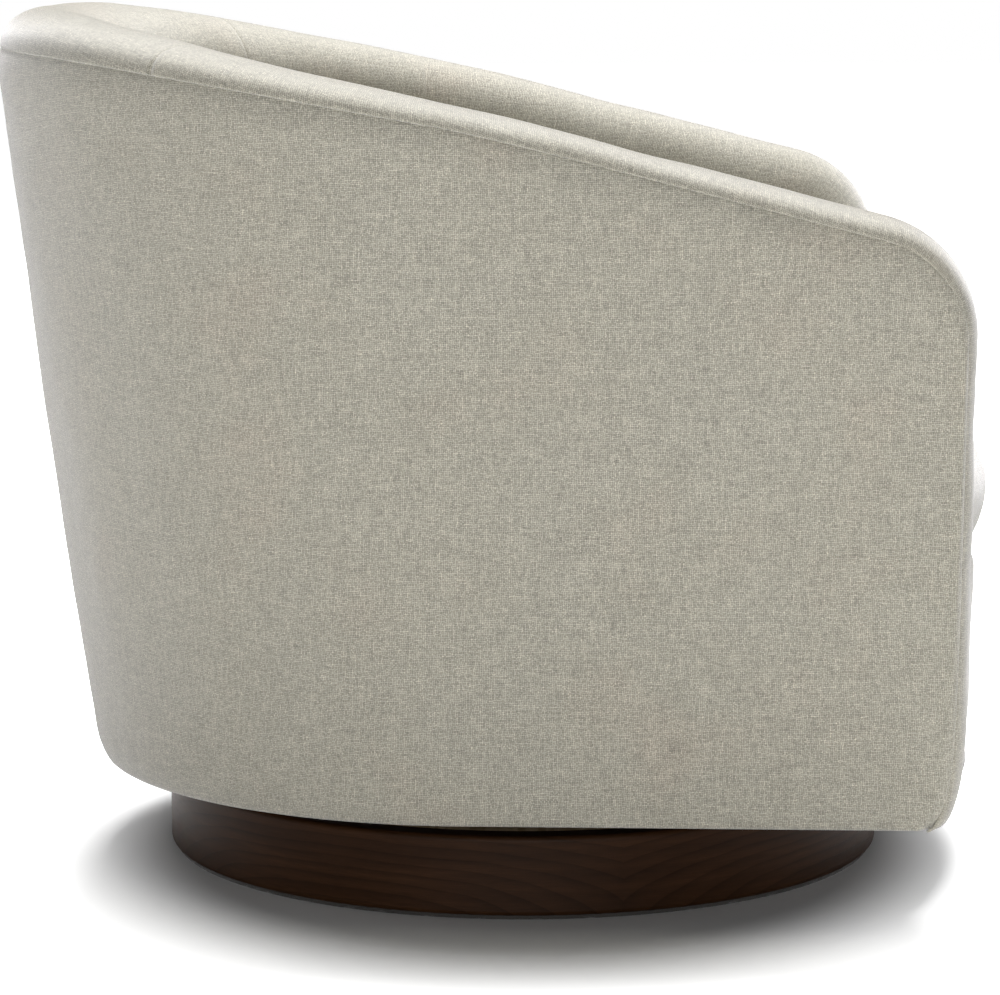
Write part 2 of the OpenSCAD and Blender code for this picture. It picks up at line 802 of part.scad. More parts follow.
module top_rail() {
    plan_z = mix(rail_top(side_y), rail_top(far), plan_z_share);
    back_r = ring_r(plan_z) - top_rail_in;
    arm_plan = concat(
        [for (y = [side_y, panel_y]) [top_rail_x(y, top_rail_in), y]],
        [for (y = [panel_y, side_y]) [top_rail_x(y, top_rail_in + top_rail_w), y]]);
    pine() difference() {
        intersection() {
            union() {
                intersection() {
                    translate([0, ring_c(plan_z), 0])
                        ring(back_r, back_r - top_rail_w, back_h);
                    translate([-far, side_y - tuck_room, -cut])
                        cube([2 * far, far, back_h + 2 * cut]);
                }
                for (side = [0, 1])
                    mirror([side, 0, 0])
                        linear_extrude(back_h)
                            polygon(arm_plan);
            }
            over_slope(top_rail_t);
        }
        over_slope(0);
        corner_cut();
    }
}

module arm_panel_right() {
    section = [for (z = [floor_z, back_h], depth = [frame_in + panel_gap, inner_board_in - panel_gap])
        [arm_x(panel_y, z) - depth / cos(splay), z]];
    pine() difference() {
        translate([0, panel_y + panel_t, 0])
            rotate([90, 0, 0])
                linear_extrude(panel_t)
                    polygon([section[0], section[2], section[3], section[1]]);
        over_slope(top_rail_t);
        corner_cut();
    }
}

module arm_panel_left() {
    mirror([1, 0, 0])
        arm_panel_right();
}

// A layer of the shell between two depths, down to a height
module layer(outer, inner, low_z) {
    sheet(
        both_sides([for (s = layer_stations) layer_column(s, inner, low_z)]),
        both_sides([for (s = layer_stations) layer_column(s, outer, low_z)]));
}

module outer_board() {
    color([0.55, 0.42, 0.28])
        layer(outer_board_in, outer_board_in + fibreboard_t, layer_low);
}

module outer_wadding() {
    color([0.95, 0.95, 0.93])
        layer(wadding_in, wadding_in + wadding_t, layer_low);
}

module inner_board() {
    color([0.55, 0.42, 0.28])
        layer(inner_board_in, inner_board_in + fibreboard_t, tuck_z);
}

module inner_foam() {
    color([0.93, 0.90, 0.78])
        layer(foam_in, -skin_in, tuck_z);
}

// Foam under the roll of the cover, over the top rail and down the arms' front panels.
// Its flat side lies on the back's rail, and a roll_room below the seam elsewhere.
roll_room = seam_r - corner_y + panel_y - facet_gap;
function roll_foot(s, p, outer_y) =
    is_undef(s[1])
    ? [p.x, p.y, rail_top(outer_y) + facet_gap]
    : let (room = s[3].z > 0 ? roll_room : min(roll_room, panel_y - facet_gap - s[1]))
        [p.x, s[1] - s[3].y * room, s[2] - s[3].z * room];
foam_stations = concat(side_stations, [toe_stations[0], toe_stations[1]]);
foot_share = 0.93;

module roll_foam() {
    rings = [for (s = foam_stations)
        let (arch = roll_points(s, skin_in))
        concat(
            [for (i = [len(arch) - 2:-1:0]) arch[i]],
            [for (p = [arch[0], across(s, foot_share, 0, skin_in)]) roll_foot(s, p, arch[0].y)])];
    color([0.93, 0.90, 0.78])
        loft(both_sides(rings));
}

module outer_cover() {
    shown = [for (i = [0:len(stations) - 2]) stations[i]];
    linen() sheet(
        both_sides([for (s = shown) outer_column(s, cover_t, -soft_gap, 0)]),
        both_sides([for (s = shown) outer_column(s, 0, -soft_gap, 0)]));
}

module inner_cover() {
    linen() sheet(
        both_sides([for (s = stations) inner_column(s, 0, flap_back)]),
        both_sides([for (s = stations) inner_column(s, cover_t, flap_back)]));
}

// A solid between the arms that leans outwards with their inner sides
module between_arms(low_z, high_z) {
    half = [for (z = [low_z, high_z]) inner_x(hem_front_y + flap_back, z) - 2 * facet_gap];
    intersection() {
        children();
        rotate([90, 0, 0])
            linear_extrude(far)
                polygon([[-half[0], low_z], [half[0], low_z], [half[1], high_z], [-half[1], high_z]]);
    }
}

// The front rail's cover: a wall that turns over a rounded edge into a narrow top
module front_rail_cover() {
    edge_r = front_foam_t + cover_t;
    edge_x = bow_r - edge_r;
    edge_z = deck_z - edge_r;
    linen() between_arms(hem_z, deck_z)
        translate([0, bow_y, 0])
            rotate_extrude($fn = bow_facets) {
                translate([bow_r - border_w, deck_z - cover_t])
                    square([border_w - edge_r, cover_t]);
                translate([bow_r - cover_t, hem_z])
                    square([cover_t, edge_z - hem_z]);
                intersection() {
                    difference() {
                        translate([edge_x, edge_z])
                            circle(edge_r);
                        translate([edge_x, edge_z])
                            circle(edge_r - cover_t);
                    }
                    translate([edge_x, edge_z])
                        square(edge_r);
                }
            }
}

module front_rail_foam() {
    outer_r = bow_r - cover_t - soft_gap;
    foam_top = deck_z - cover_t - soft_gap;
    edge_r = front_foam_t - soft_gap;
    color([0.93, 0.90, 0.78]) between_arms(hem_z, deck_z)
        translate([0, bow_y, 0])
            rotate_extrude($fn = bow_facets) {
                translate([outer_r - front_foam_t, board_z])
                    square([front_foam_t, foam_top - edge_r - board_z]);
                translate([outer_r - front_foam_t - tuck_room, rail_z + soft_gap])
                    square([tuck_room + soft_gap, foam_top - rail_z - soft_gap]);
                intersection() {
                    translate([outer_r - edge_r, foam_top - edge_r])
                        circle(edge_r);
                    translate([outer_r - edge_r, foam_top - edge_r])
                        square(edge_r);
                }
            }
}

// Springs
spring_angle_shares = [-0.56, -0.28, 0, 0.28, 0.56];
clip_l = 14;
clip_w = 12;
clip_cover = 1.2;
lead = 24;

// Ends of a spring: on the seat ring's rear and on the front rail
function spring_rear(share) =
    let (angle = 90 * (1 - abs(share)))
    let (p = place(angle, undef, floor_z, thick(angle, floor_z) + facet_gap + rail_t / 2))
    [share < 0 ? -p.x : p.x, p.y];
function spring_front(x) = [x, bow_y - sqrt(pow(clip_line_r, 2) - pow(x, 2))];

// Rings of wire round a path that lies level
function wire_rings(path) =
    [for (i = [0:len(path) - 1])
        let (ahead = path[min(i + 1, len(path) - 1)] - path[max(i - 1, 0)])
        let (along = ahead / norm(ahead))
        [for (k = [0:wire_sides - 1])
            let (turn = -360 * k / wire_sides)
            [path[i].x - along.y * wire_r * cos(turn), path[i].y + along.x * wire_r * cos(turn),
                wire_z + wire_r * sin(turn)]]];
wire_sides = 6;
wave_points = 6;
wave_flat_share = 1.25;

function spring_path(share) =
    let (rear = spring_rear(share), front = spring_front(rear.x))
    let (low = front.y + lead, high = rear.y - lead)
    let (waves = floor((high - low) / spring_pitch))
    concat(
        [[rear.x, front.y - clip_l / 2], [rear.x, low]],
        [for (i = [1:waves * wave_points])
            let (turn = sin(360 * (i - 0.5) / wave_points))
            [rear.x + spring_w / 2 * sign(turn) * min(1, wave_flat_share * abs(turn)),
                mix(low, high, i / (waves * wave_points + 1))]],
        [[rear.x, high], [rear.x, rear.y + clip_l / 2]]);

module seat_springs() {
    steel() for (share = spring_angle_shares)
        loft(wire_rings(spring_path(share)));
}

module spring_clips() {
    color([0.9, 0.88, 0.8]) for (share = spring_angle_shares) {
        rear = spring_rear(share);
        for (p = [rear, spring_front(rear.x)])
            translate([p.x, p.y, rail_z])
                difference() {
                    translate([-clip_w / 2, -clip_l / 2, 0])
                        cube([clip_w, clip_l, wire_z - rail_z + wire_r + clip_cover]);
                    translate([0, -clip_l, wire_z - rail_z])
                        rotate([-90, 0, 0])
                            cylinder(h = 2 * clip_l, r = wire_r + race_gap);
                }
    }
}

// Plan of a deck layer: between the arms' panels, and on between the arm fronts to the front rail's border
module deck_plan(z, extra, r) {
    front_x = min(inner_x(panel_y, z), inner_x(hem_front_y + flap_back, z)) - facet_gap - extra;
    foot = [[front_x, panel_y], [front_x, -far], [-front_x, -far], [-front_x, panel_y]];
    plan = inner_plan(z, extra);
    middle = (len(plan) + 1) / 2;
    intersection() {
        polygon(concat([for (i = [0:middle - 1]) plan[i]], foot, [for (i = [middle:len(plan) - 1]) plan[i]]));
        bow_circle(r);
    }
}

module deck_felt() {
    color([0.35, 0.36, 0.38]) translate([0, 0, felt_z])
        linear_extrude(deck_felt_t)
            deck_plan(floor_z, facet_gap + rail_t + tuck_room, bow_r - border_w - layer_gap);
}

module deck_cloth() {
    color([0.62, 0.60, 0.55]) translate([0, 0, cloth_z])
        linear_extrude(deck_cloth_t)
            deck_plan(cloth_z, facet_gap, bow_r - border_w - soft_gap);
}

dust_t = 1;

module dust_cover() {
    color([0.06, 0.06, 0.06]) translate([0, 0, board_z - soft_gap - dust_t])
        difference() {
            union() {
                difference() {
                    shell_slab(hem_z, hem_in + cover_t + facet_gap, hem_front_y, dust_t);
                    flap_room(dust_t);
                }
                linear_extrude(dust_t)
                    between(tongue_x, bow_r - cover_t - soft_gap);
            }
            translate([0, 0, -cut])
                cylinder(h = dust_t + 2 * cut, r = dust_hole_r);
        }
}

// Cushion
nose_z = deck_z + cushion_nose_h;
flat_share = 0.86;
crown_power = 2.1;
crown_shares = [0.985, 0.95, 0.88, 0.77, 0.62, 0.42, 0.2];
nose_steps = 3;
bow_centre_y = cushion_front_r - front_d - cushion_ahead;
function side_x(y) = arm_x(y, nose_z) - (thick(splay, nose_z) + cushion_side_room) / cos(splay);
function corner_centre_y(y) =
    bow_centre_y - sqrt(pow(cushion_front_r - cushion_corner_r, 2)
        - pow(side_x(y) - cushion_corner_r / cos(splay), 2));
cushion_corner_y = corner_centre_y(corner_centre_y(panel_y));
cushion_corner_x = side_x(cushion_corner_y) - cushion_corner_r / cos(splay);
bow_turn = asin(cushion_corner_x / (cushion_front_r - cushion_corner_r));
nose_side_y = ring_c(nose_z) + ring_r(nose_z) * sin(splay);
function rear_depth(angle) =
    thick(angle, nose_z) + mix(cushion_side_room, cushion_rear_room, pow(sin(angle), 2));

// Outline of the cushion in plan at its widest line, right half from the rear to the front
plan_steps = 4;
cushion_half = [
    for (i = [0:back_steps])
        let (angle = mix(90, splay, i / back_steps))
        place(angle, undef, nose_z, rear_depth(angle)),
    for (i = [1:plan_steps - 1])
        let (y = mix(nose_side_y, cushion_corner_y, i / plan_steps))
        [side_x(y), y, nose_z],
    for (i = [0:plan_steps])
        let (turn = mix(splay, bow_turn - 90, i / plan_steps))
        [cushion_corner_x + cushion_corner_r * cos(turn),
            cushion_corner_y + cushion_corner_r * sin(turn), nose_z],
    for (i = [1:plan_steps])
        let (turn = mix(bow_turn, 0, i / plan_steps))
        [cushion_front_r * sin(turn), bow_centre_y - cushion_front_r * cos(turn), nose_z]
];
cushion_outline = concat(cushion_half,
    [for (i = [len(cushion_half) - 2:-1:1]) [-cushion_half[i].x, cushion_half[i].y, nose_z]]);
cushion_rear_y = cushion_half[0].y;
cushion_mid_y = (cushion_rear_y - front_d - cushion_ahead) / 2;
cushion_half_w = side_x(cushion_mid_y);

// Profile of the cushion, a depth under its cover: [share of the outline, height over the deck]
function cushion_profile(depth, base) =
    let (full = 1 - depth / cushion_half_w)
    let (flat = flat_share - depth / cushion_half_w)
    concat(
        [for (i = [0:nose_steps])
            let (turn = 90 * i / nose_steps)
            [mix(flat, full, sin(turn)), mix(base, cushion_nose_h, 1 - cos(turn))]],
        [for (share = crown_shares)
            [full * share, cushion_nose_h + (cushion_h - depth - cushion_nose_h)
                * pow(1 - pow(share, crown_power), 1 / crown_power)]]);

function cushion_ring(share, height) =
    [for (p = cushion_outline)
        [p.x * share, mix(cushion_mid_y, p.y, share), cushion_z + height]];

function cushion_rings(depth, base) =
    [for (p = cushion_profile(depth, base)) cushion_ring(p[0], p[1])];

module cushion_core() {
    color([0.93, 0.90, 0.78])
        loft(cushion_rings(cover_t + soft_gap, dust_t + soft_gap));
}

// A cap between an outer and an inner set of rings, open below and closed over the crown
module cap_shell(outer, inner, outer_top, inner_top) {
    sides = len(outer[0]);
    all = len(outer) * sides;
    wall = [for (i = [0:len(outer) - 2], j = [0:sides - 1])
        let (a = i * sides + j, b = i * sides + (j + 1) % sides)
        each [[a, b, a + sides], [b, b + sides, a + sides]]];
    far_wall = [for (f = wall) [f[0] + all, f[2] + all, f[1] + all]];
    rim = [for (j = [0:sides - 1])
        let (b = (j + 1) % sides)
        each [[j, j + all, b], [b, j + all, b + all]]];
    top = [for (j = [0:sides - 1])
        let (a = all - sides + j, b = all - sides + (j + 1) % sides)
        each [[a, b, 2 * all], [b + all, a + all, 2 * all + 1]]];
    polyhedron(concat(joined(outer), joined(inner), [outer_top, inner_top]),
        concat(wall, far_wall, rim, top));
}

module cushion_cover() {
    linen() cap_shell(
        cushion_rings(0, 0), cushion_rings(cover_t, 0),
        [0, cushion_mid_y, cushion_z + cushion_h], [0, cushion_mid_y, cushion_z + cushion_h - cover_t]);
}

module cushion_base_cloth() {
    share = flat_share - (cover_t + soft_gap) / cushion_half_w;
    color([0.30, 0.30, 0.30]) translate([0, 0, cushion_z])
        linear_extrude(dust_t)
            polygon([for (p = cushion_ring(share, 0)) [p.x, p.y]]);
}

// Zip round the cushion's rear
zip_y = cushion_rear_y - zip_r;
teeth_t = 1.2;
teeth_end = 5;
slider_half_l = 5;
radian = 180 / PI;
zip_turn = zip_l / 2 / zip_r * radian;
teeth_turn = (zip_l / 2 - teeth_end) / zip_r * radian;
slider_turn = slider_half_l / zip_r * radian;
module zip_arc(inner_r, thickness, high, turn) {
    translate([0, zip_y, nose_z - high / 2])
        rotate([0, 0, 90 - turn])
            rotate_extrude(angle = 2 * turn)
                translate([inner_r, 0])
                    square([thickness, high]);
}

module cushion_zip_tape() {
    color([0.55, 0.53, 0.48])
        zip_arc(zip_r + soft_gap, zip_t, zip_w, zip_turn);
}

module cushion_zip_teeth() {
    color([0.75, 0.73, 0.68])
        zip_arc(zip_r + soft_gap + zip_t + race_gap, teeth_t, teeth_w, teeth_turn);
}

module zip_slider() {
    body_r = zip_r + 2 * soft_gap + zip_t + race_gap + teeth_t;
    steel() rotate_about(zip_y, teeth_turn - slider_turn) {
        zip_arc(body_r, slider_t, slider_w, slider_turn);
        translate([-slider_w / 4, zip_y + body_r, nose_z - slider_w / 2 - tab_l])
            cube([slider_w / 2, teeth_t, tab_l + slider_w / 2]);
    }
}

// Turned about an upright axis at y
module rotate_about(y, turn) {
    translate([0, y, 0])
        rotate([0, 0, turn])
            translate([0, -y, 0])
                children();
}

floor_felt();
plinth_ring();
plinth_board();
plinth_battens();
plinth_blocks();
swivel_lower_plate();
lower_plate_bolts();
lower_plate_nuts();
swivel_balls();
ball_cage();
swivel_upper_plate();
swivel_pivot();
pivot_washer();
pivot_nut();
upper_plate_bolts();
upper_plate_nuts();
bottom_board();
seat_ring();
front_rail();
frame_posts();
top_rail();
arm_panel_left();
arm_panel_right();
outer_board();
inner_board();
outer_wadding();
inner_foam();
roll_foam();
seat_springs();
spring_clips();
deck_felt();
deck_cloth();
front_rail_foam();
front_rail_cover();
dust_cover();
outer_cover();
inner_cover();
cushion_core();
cushion_cover();
cushion_base_cloth();
cushion_zip_tape();
cushion_zip_teeth();
zip_slider();
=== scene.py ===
import json
import math
import bpy
import bmesh
import numpy as np
from mathutils import Matrix, Vector


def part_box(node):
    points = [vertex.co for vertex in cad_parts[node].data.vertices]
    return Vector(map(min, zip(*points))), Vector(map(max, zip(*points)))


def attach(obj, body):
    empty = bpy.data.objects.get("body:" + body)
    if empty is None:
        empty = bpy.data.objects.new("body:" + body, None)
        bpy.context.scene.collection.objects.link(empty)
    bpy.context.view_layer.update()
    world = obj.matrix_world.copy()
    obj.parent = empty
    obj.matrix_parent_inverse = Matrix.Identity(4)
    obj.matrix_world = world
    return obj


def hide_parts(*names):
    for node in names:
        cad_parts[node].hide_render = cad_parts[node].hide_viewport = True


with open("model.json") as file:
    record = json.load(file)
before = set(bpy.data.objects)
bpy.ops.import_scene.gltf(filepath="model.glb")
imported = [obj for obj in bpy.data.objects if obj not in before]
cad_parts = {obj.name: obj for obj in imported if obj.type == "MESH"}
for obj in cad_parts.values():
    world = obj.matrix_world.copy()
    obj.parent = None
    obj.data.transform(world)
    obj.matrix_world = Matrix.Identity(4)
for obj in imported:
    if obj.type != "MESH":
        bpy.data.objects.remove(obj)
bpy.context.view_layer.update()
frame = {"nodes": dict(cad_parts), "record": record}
cad = frame["nodes"]
scene = bpy.context.scene

# ---------------------------------------------------------------- sizes of the CAD, in millimetres
PLINTH_R = 293
HEM_Z, BACK_H, ARM_H, ARM_FRONT_H = 79.0, 690.0, 613.0, 528.0
HEM_R, HEM_C, TOP_GROW, TOP_SHIFT, SPLAY, FRONT_D = 315.0, 36.0, 54.0, 27.0, 4.0, 327.0
LEAN_POWER = 0.93
CREST_RUN, CREST_BLEND, CREST_BEND = 353.0, 6.0, 20.0
CORNER_R, TOE_D, TOE_H = 92.0, 16.0, 76.0
TOP_T, ARM_T, BACK_T = 95.0, 84.0, 118.0
ROLL_RISE, BACK_RISE, ROLL_DROP = 14.0, 29.0, 46.0
SEAM_IN, SEAM_CURVE, HEM_IN, HEM_CURVE = 6.0, 30.0, 4.0, 22.0
COVER_T, WADDING_T, BOARD_T, FOAM_GAP = 2.0, 5.5, 3.0, 0.9
TUCK_Z, DECK_Z = 100.9, 250.5
FLAP_BACK = 25.2
BOW_R, BOW_Y, FRONT_FOAM_T = 597.421, 230.421, 12.0
CUSHION_Z, CUSHION_H, NOSE_H, NOSE_Z = 250.8, 170.0, 54.0, 304.5
CUSHION_MID_Y, CUSHION_HALF_W = -58.7283, 252.173
ZIP_R, ZIP_Y = 300.0, -40.4567

# Length of arm over which its columns lean with the line where the round back ends
ARM_QUARTER = 85.0
FALL = math.atan((ARM_H - ARM_FRONT_H) / FRONT_D)
REAR_RISE = (BACK_H - ARM_H) / CREST_RUN
SPL = math.radians(SPLAY)


# ---------------------------------------------------------------- the shell's formulas, on arrays
def lean(z):
    return np.maximum(0.0, (z - HEM_Z) / (BACK_H - HEM_Z)) ** LEAN_POWER


def ring_r(z):
    return HEM_R + TOP_GROW * lean(z)


def ring_c(z):
    return HEM_C + TOP_SHIFT * lean(z)


def arm_x(y, z):
    return ring_r(z) * math.cos(SPL) + (ring_c(z) + ring_r(z) * math.sin(SPL) - y) * math.tan(SPL)


def thick(a, z):
    low = ARM_T + (BACK_T - ARM_T) * np.sin(a) ** 2
    return low + (TOP_T - low) * np.clip((z - HEM_Z) / (BACK_H - HEM_Z), 0, 1)


def tangent_y(z):
    """Where the round back ends and the arm starts, at a height."""
    return ring_c(z) + ring_r(z) * math.sin(SPL)


def along_arm(y, z):
    """The first quarter of the arm's columns lean with the line where the round back ends."""
    side = HEM_C + TOP_SHIFT * lean(ARM_H) + (HEM_R + TOP_GROW * lean(ARM_H)) * math.sin(SPL)
    near = np.clip(1 - (side - y) / ARM_QUARTER, 0, 1)
    return y + (tangent_y(z) - side) * near


def place(a, y, z, depth):
    """Points under the shell's outer face. y is nan on the round back."""
    a, y, z, depth = np.broadcast_arrays(a, y, z, depth)
    back = np.isnan(y)
    y = along_arm(y, z)
    px = np.where(back, (ring_r(z) - depth) * np.cos(a), arm_x(np.nan_to_num(y), z) - depth / math.cos(SPL))
    py = np.where(back, ring_c(z) + (ring_r(z) - depth) * np.sin(a), np.nan_to_num(y))
    return np.stack([px, py, z.astype(float)], -1)


def soft_rise(v, blend):
    return np.maximum(0, v) + blend * np.log1p(np.exp(-np.abs(v) / blend))


def crest(y):
    s = ARM_H + REAR_RISE * soft_rise(y, CREST_BEND) - math.tan(FALL) * soft_rise(-y, CREST_BEND)
    return s - soft_rise(s - BACK_H, CREST_BLEND)


def smooth(x):
    x = np.clip(x, 0, 1)
    return x * x * (3 - 2 * x)


SEAM_FRONT = FRONT_D - ROLL_RISE
CORNER_Y = CORNER_R - FRONT_D
CORNER_Z = ARM_H + CORNER_Y * math.tan(FALL) - CORNER_R / math.cos(FALL)
SEAM_R = CORNER_R - ROLL_RISE
SIDE_Y = float(ring_c(ARM_H) + ring_r(ARM_H) * math.sin(SPL))
BEND_Y = CORNER_Y - SEAM_R * math.sin(FALL)
HEM_FRONT_Y = TOE_D - SEAM_FRONT
LOW_DROP = ROLL_RISE + (ROLL_DROP - ROLL_RISE) * 0.6
CROSS = math.radians(39)
CREST_U = 305.0
# Length of cloth in the outer panel, from the middle of the back to the line of y = 0
PANEL_U = 620
# Distance of the seams over the band, along the crest, for each radian
CROSS_R = 330


def stations():
    """Columns of the shell's right half from the middle of the back to the foot of the arm's front:
    angle, y, z, up_y, up_z, toe share, drop, rise, length along the shell."""
    rows = []
    near = np.radians([-1.6, -1.0, -0.6, -0.35, -0.15, 0, 0.15, 0.35, 0.6, 1.0, 1.6])
    angles = sorted(set(np.linspace(math.pi / 2, SPL, 64).tolist() + (CROSS + near).tolist()), reverse=True)
    for a in angles:
        rise = ROLL_RISE + (BACK_RISE - ROLL_RISE) * math.sin(a) ** 2
        mid = float(ring_c(ARM_H) + (ring_r(ARM_H) - TOP_T / 2) * math.sin(a))
        rows.append([a, math.nan, float(crest(mid)) - rise, 0, 1, 0, ROLL_DROP, rise, CREST_U * (math.pi / 2 - a)])
    start = CREST_U * (math.pi / 2 - SPL)
    for i in range(1, 42):
        y = SIDE_Y + (BEND_Y - SIDE_Y) * i / 42
        tilt = FALL * float(smooth((SIDE_Y - y) / 90))
        rows.append([SPL, y, float(crest(y)) - ROLL_RISE / math.cos(tilt), -math.sin(tilt), math.cos(tilt), 0,
                     ROLL_DROP, ROLL_RISE, start + SIDE_Y - y])
    count, n = 14.0, 24
    start += SIDE_Y - BEND_Y
    for i in range(n + 1):
        turn = FALL + (math.pi / 2 - FALL) * i / n
        share = (1 + 5 * i / n) / count
        rows.append([SPL, CORNER_Y - SEAM_R * math.sin(turn), CORNER_Z + SEAM_R * math.cos(turn), -math.sin(turn),
                     math.cos(turn), share, ROLL_DROP, ROLL_RISE, start + SEAM_R * (turn - FALL)])
    start = rows[-1][8]
    toe_z = HEM_Z + TOE_H
    for i in range(1, 31):
        f = i / 30
        z = CORNER_Z + (toe_z - CORNER_Z) * f
        rows.append([SPL, -SEAM_FRONT, z, -1, 0, (6 + 3 * f) / count, ROLL_DROP + (LOW_DROP - ROLL_DROP) * f,
                     ROLL_RISE, start + CORNER_Z - z])
    start = rows[-1][8]
    for i in range(1, 19):
        turn = math.pi / 2 * i / 18
        rows.append([SPL, TOE_D * (1 - math.cos(turn)) - SEAM_FRONT, toe_z - TOE_H * math.sin(turn), -1, 0,
                     (9 + 4 * i / 18 + (1 if i == 18 else i / 18)) / count, LOW_DROP, ROLL_RISE,
                     start + TOE_H * math.sin(turn)])
    return np.array(rows, float)


S = stations()
A, Y, Z, UY, UZ, SH, DROP, RISE, U = S.T
NAN = np.isnan(Y)
FAN = SH > 0


def low_y(back):
    return np.where(NAN, np.nan, np.where(FAN, LAST_FAN_Y + (HEM_FRONT_Y + back - LAST_FAN_Y) * SH, Y))


LAST_FAN_Y = float(Y[(SH == 0)][-1]) + 0.5
SH[FAN] = (SH[FAN] - SH[FAN].min()) / (1 - SH[FAN].min()) * (1 - 0.005) + 0.005


def both(grid):
    """Mirrors a grid of the right half (columns first) into the left half."""
    left = grid[:0:-1].copy()
    left[..., 0] *= -1
    return np.concatenate([left, grid], 0)


def wobble(x, y, size, seed):
    """Smooth seeded noise of about -1 to 1 with features of a size."""
    rng = np.random.default_rng(seed)
    total = 0
    for _ in range(7):
        d, ph, k = rng.uniform(0, math.pi), rng.uniform(0, 6.28), rng.uniform(0.6, 1.5) * 2 * math.pi / size
        total = total + np.sin((x * math.cos(d) + y * math.sin(d)) * k + ph)
    return total / 3.5


# ---------------------------------------------------------------- meshes
def new_object(name, points, faces, uv=None, sharp=50):
    me = bpy.data.meshes.new(name)
    me.from_pydata((np.asarray(points, float) * 0.001).tolist(), [], [list(map(int, f)) for f in faces])
    if uv is not None:
        layer = me.uv_layers.new(name="weave")
        layer.data.foreach_set("uv", (np.asarray(uv, float) * 0.001).astype(np.float32).ravel())
    me.validate()
    me.shade_smooth()
    me.set_sharp_from_angle(angle=math.radians(sharp))
    ob = bpy.data.objects.new(name, me)
    scene.collection.objects.link(ob)
    return ob


def grid_normals(P, closed=False):
    if closed:
        du = np.roll(P, -1, 0) - np.roll(P, 1, 0)
    else:
        du = np.gradient(P, axis=0)
    dv = np.gradient(P, axis=1)
    n = np.cross(du, dv)
    return n / np.maximum(np.linalg.norm(n, axis=-1, keepdims=True), 1e-9)


def skin(name, P, t, UV, UV2=None, use2=None, outward=1, closed=False):
    """A sheet of thickness t under a grid of points (columns, rows), with its rim closed."""
    cols, rows = P.shape[:2]
    n = grid_normals(P, closed) * outward
    Q = P - n * t
    verts = np.concatenate([P.reshape(-1, 3), Q.reshape(-1, 3)])
    m = cols * rows
    ci = np.arange(cols if closed else cols - 1)
    i, j = np.meshgrid(ci, np.arange(rows - 1), indexing="ij")
    i2 = (i + 1) % cols
    a, b, c, d = i * rows + j, i2 * rows + j, i2 * rows + j + 1, i * rows + j + 1
    quads = np.stack([a, b, c, d] if outward > 0 else [a, d, c, b], -1).reshape(-1, 4)
    inner = quads[:, ::-1] + m
    faces = [quads, inner]
    rim = []

    def strip(line):
        for p, q in zip(line[:-1], line[1:]):
            rim.append([p, p + m, q + m, q] if outward > 0 else [p, q, q + m, p + m])
    top = [k * rows for k in range(cols)] + ([0] if closed else [])
    low = [k * rows + rows - 1 for k in range(cols)] + ([rows - 1] if closed else [])
    strip(top)
    strip(low[::-1])
    if not closed:
        strip(list(range(rows))[::-1])
        strip([(cols - 1) * rows + j for j in range(rows)])
    faces.append(np.array(rim))
    allf = np.concatenate(faces)
    flat = UV.reshape(-1, 2)
    flat = np.concatenate([flat, flat])
    uv = flat[allf]
    if UV2 is not None:
        other = np.concatenate([UV2.reshape(-1, 2)] * 2)[allf]
        pick = np.concatenate([use2.reshape(-1)] * 2)[allf].all(1)
        uv[pick] = other[pick]
    if closed:
        period = UV[..., 0].max() - UV[..., 0].min()
        u = uv[..., 0]
        wrap = (u.max(1) - u.min(1)) > period / 2
        u[wrap] = np.where(u[wrap] < u.max() - period / 2, u[wrap] + period + (UV[1, 0, 0] - UV[0, 0, 0]), u[wrap])
    return new_object(name, verts, allf, uv.reshape(-1, 2))


def solid(name, rings, cap=True):
    """A closed solid through closed rings of points (rings, sides)."""
    k, n = rings.shape[:2]
    verts = rings.reshape(-1, 3)
    i, j = np.meshgrid(np.arange(k - 1), np.arange(n), indexing="ij")
    j2 = (j + 1) % n
    quads = np.stack([i * n + j, i * n + j2, (i + 1) * n + j2, (i + 1) * n + j], -1).reshape(-1, 4).tolist()
    if cap:
        verts = np.concatenate([verts, rings[0].mean(0)[None], rings[-1].mean(0)[None]])
        for j in range(n):
            quads.append([(j + 1) % n, j, k * n])
            quads.append([(k - 1) * n + j, (k - 1) * n + (j + 1) % n, k * n + 1])
    return new_object(name, verts, quads)


def put(ob, body, slot, mat, *nodes, form=None):
    ob.data.materials.clear()
    ob.data.materials.append(mat)
    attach(ob, body)
    if nodes:
        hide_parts(*nodes)
    return ob


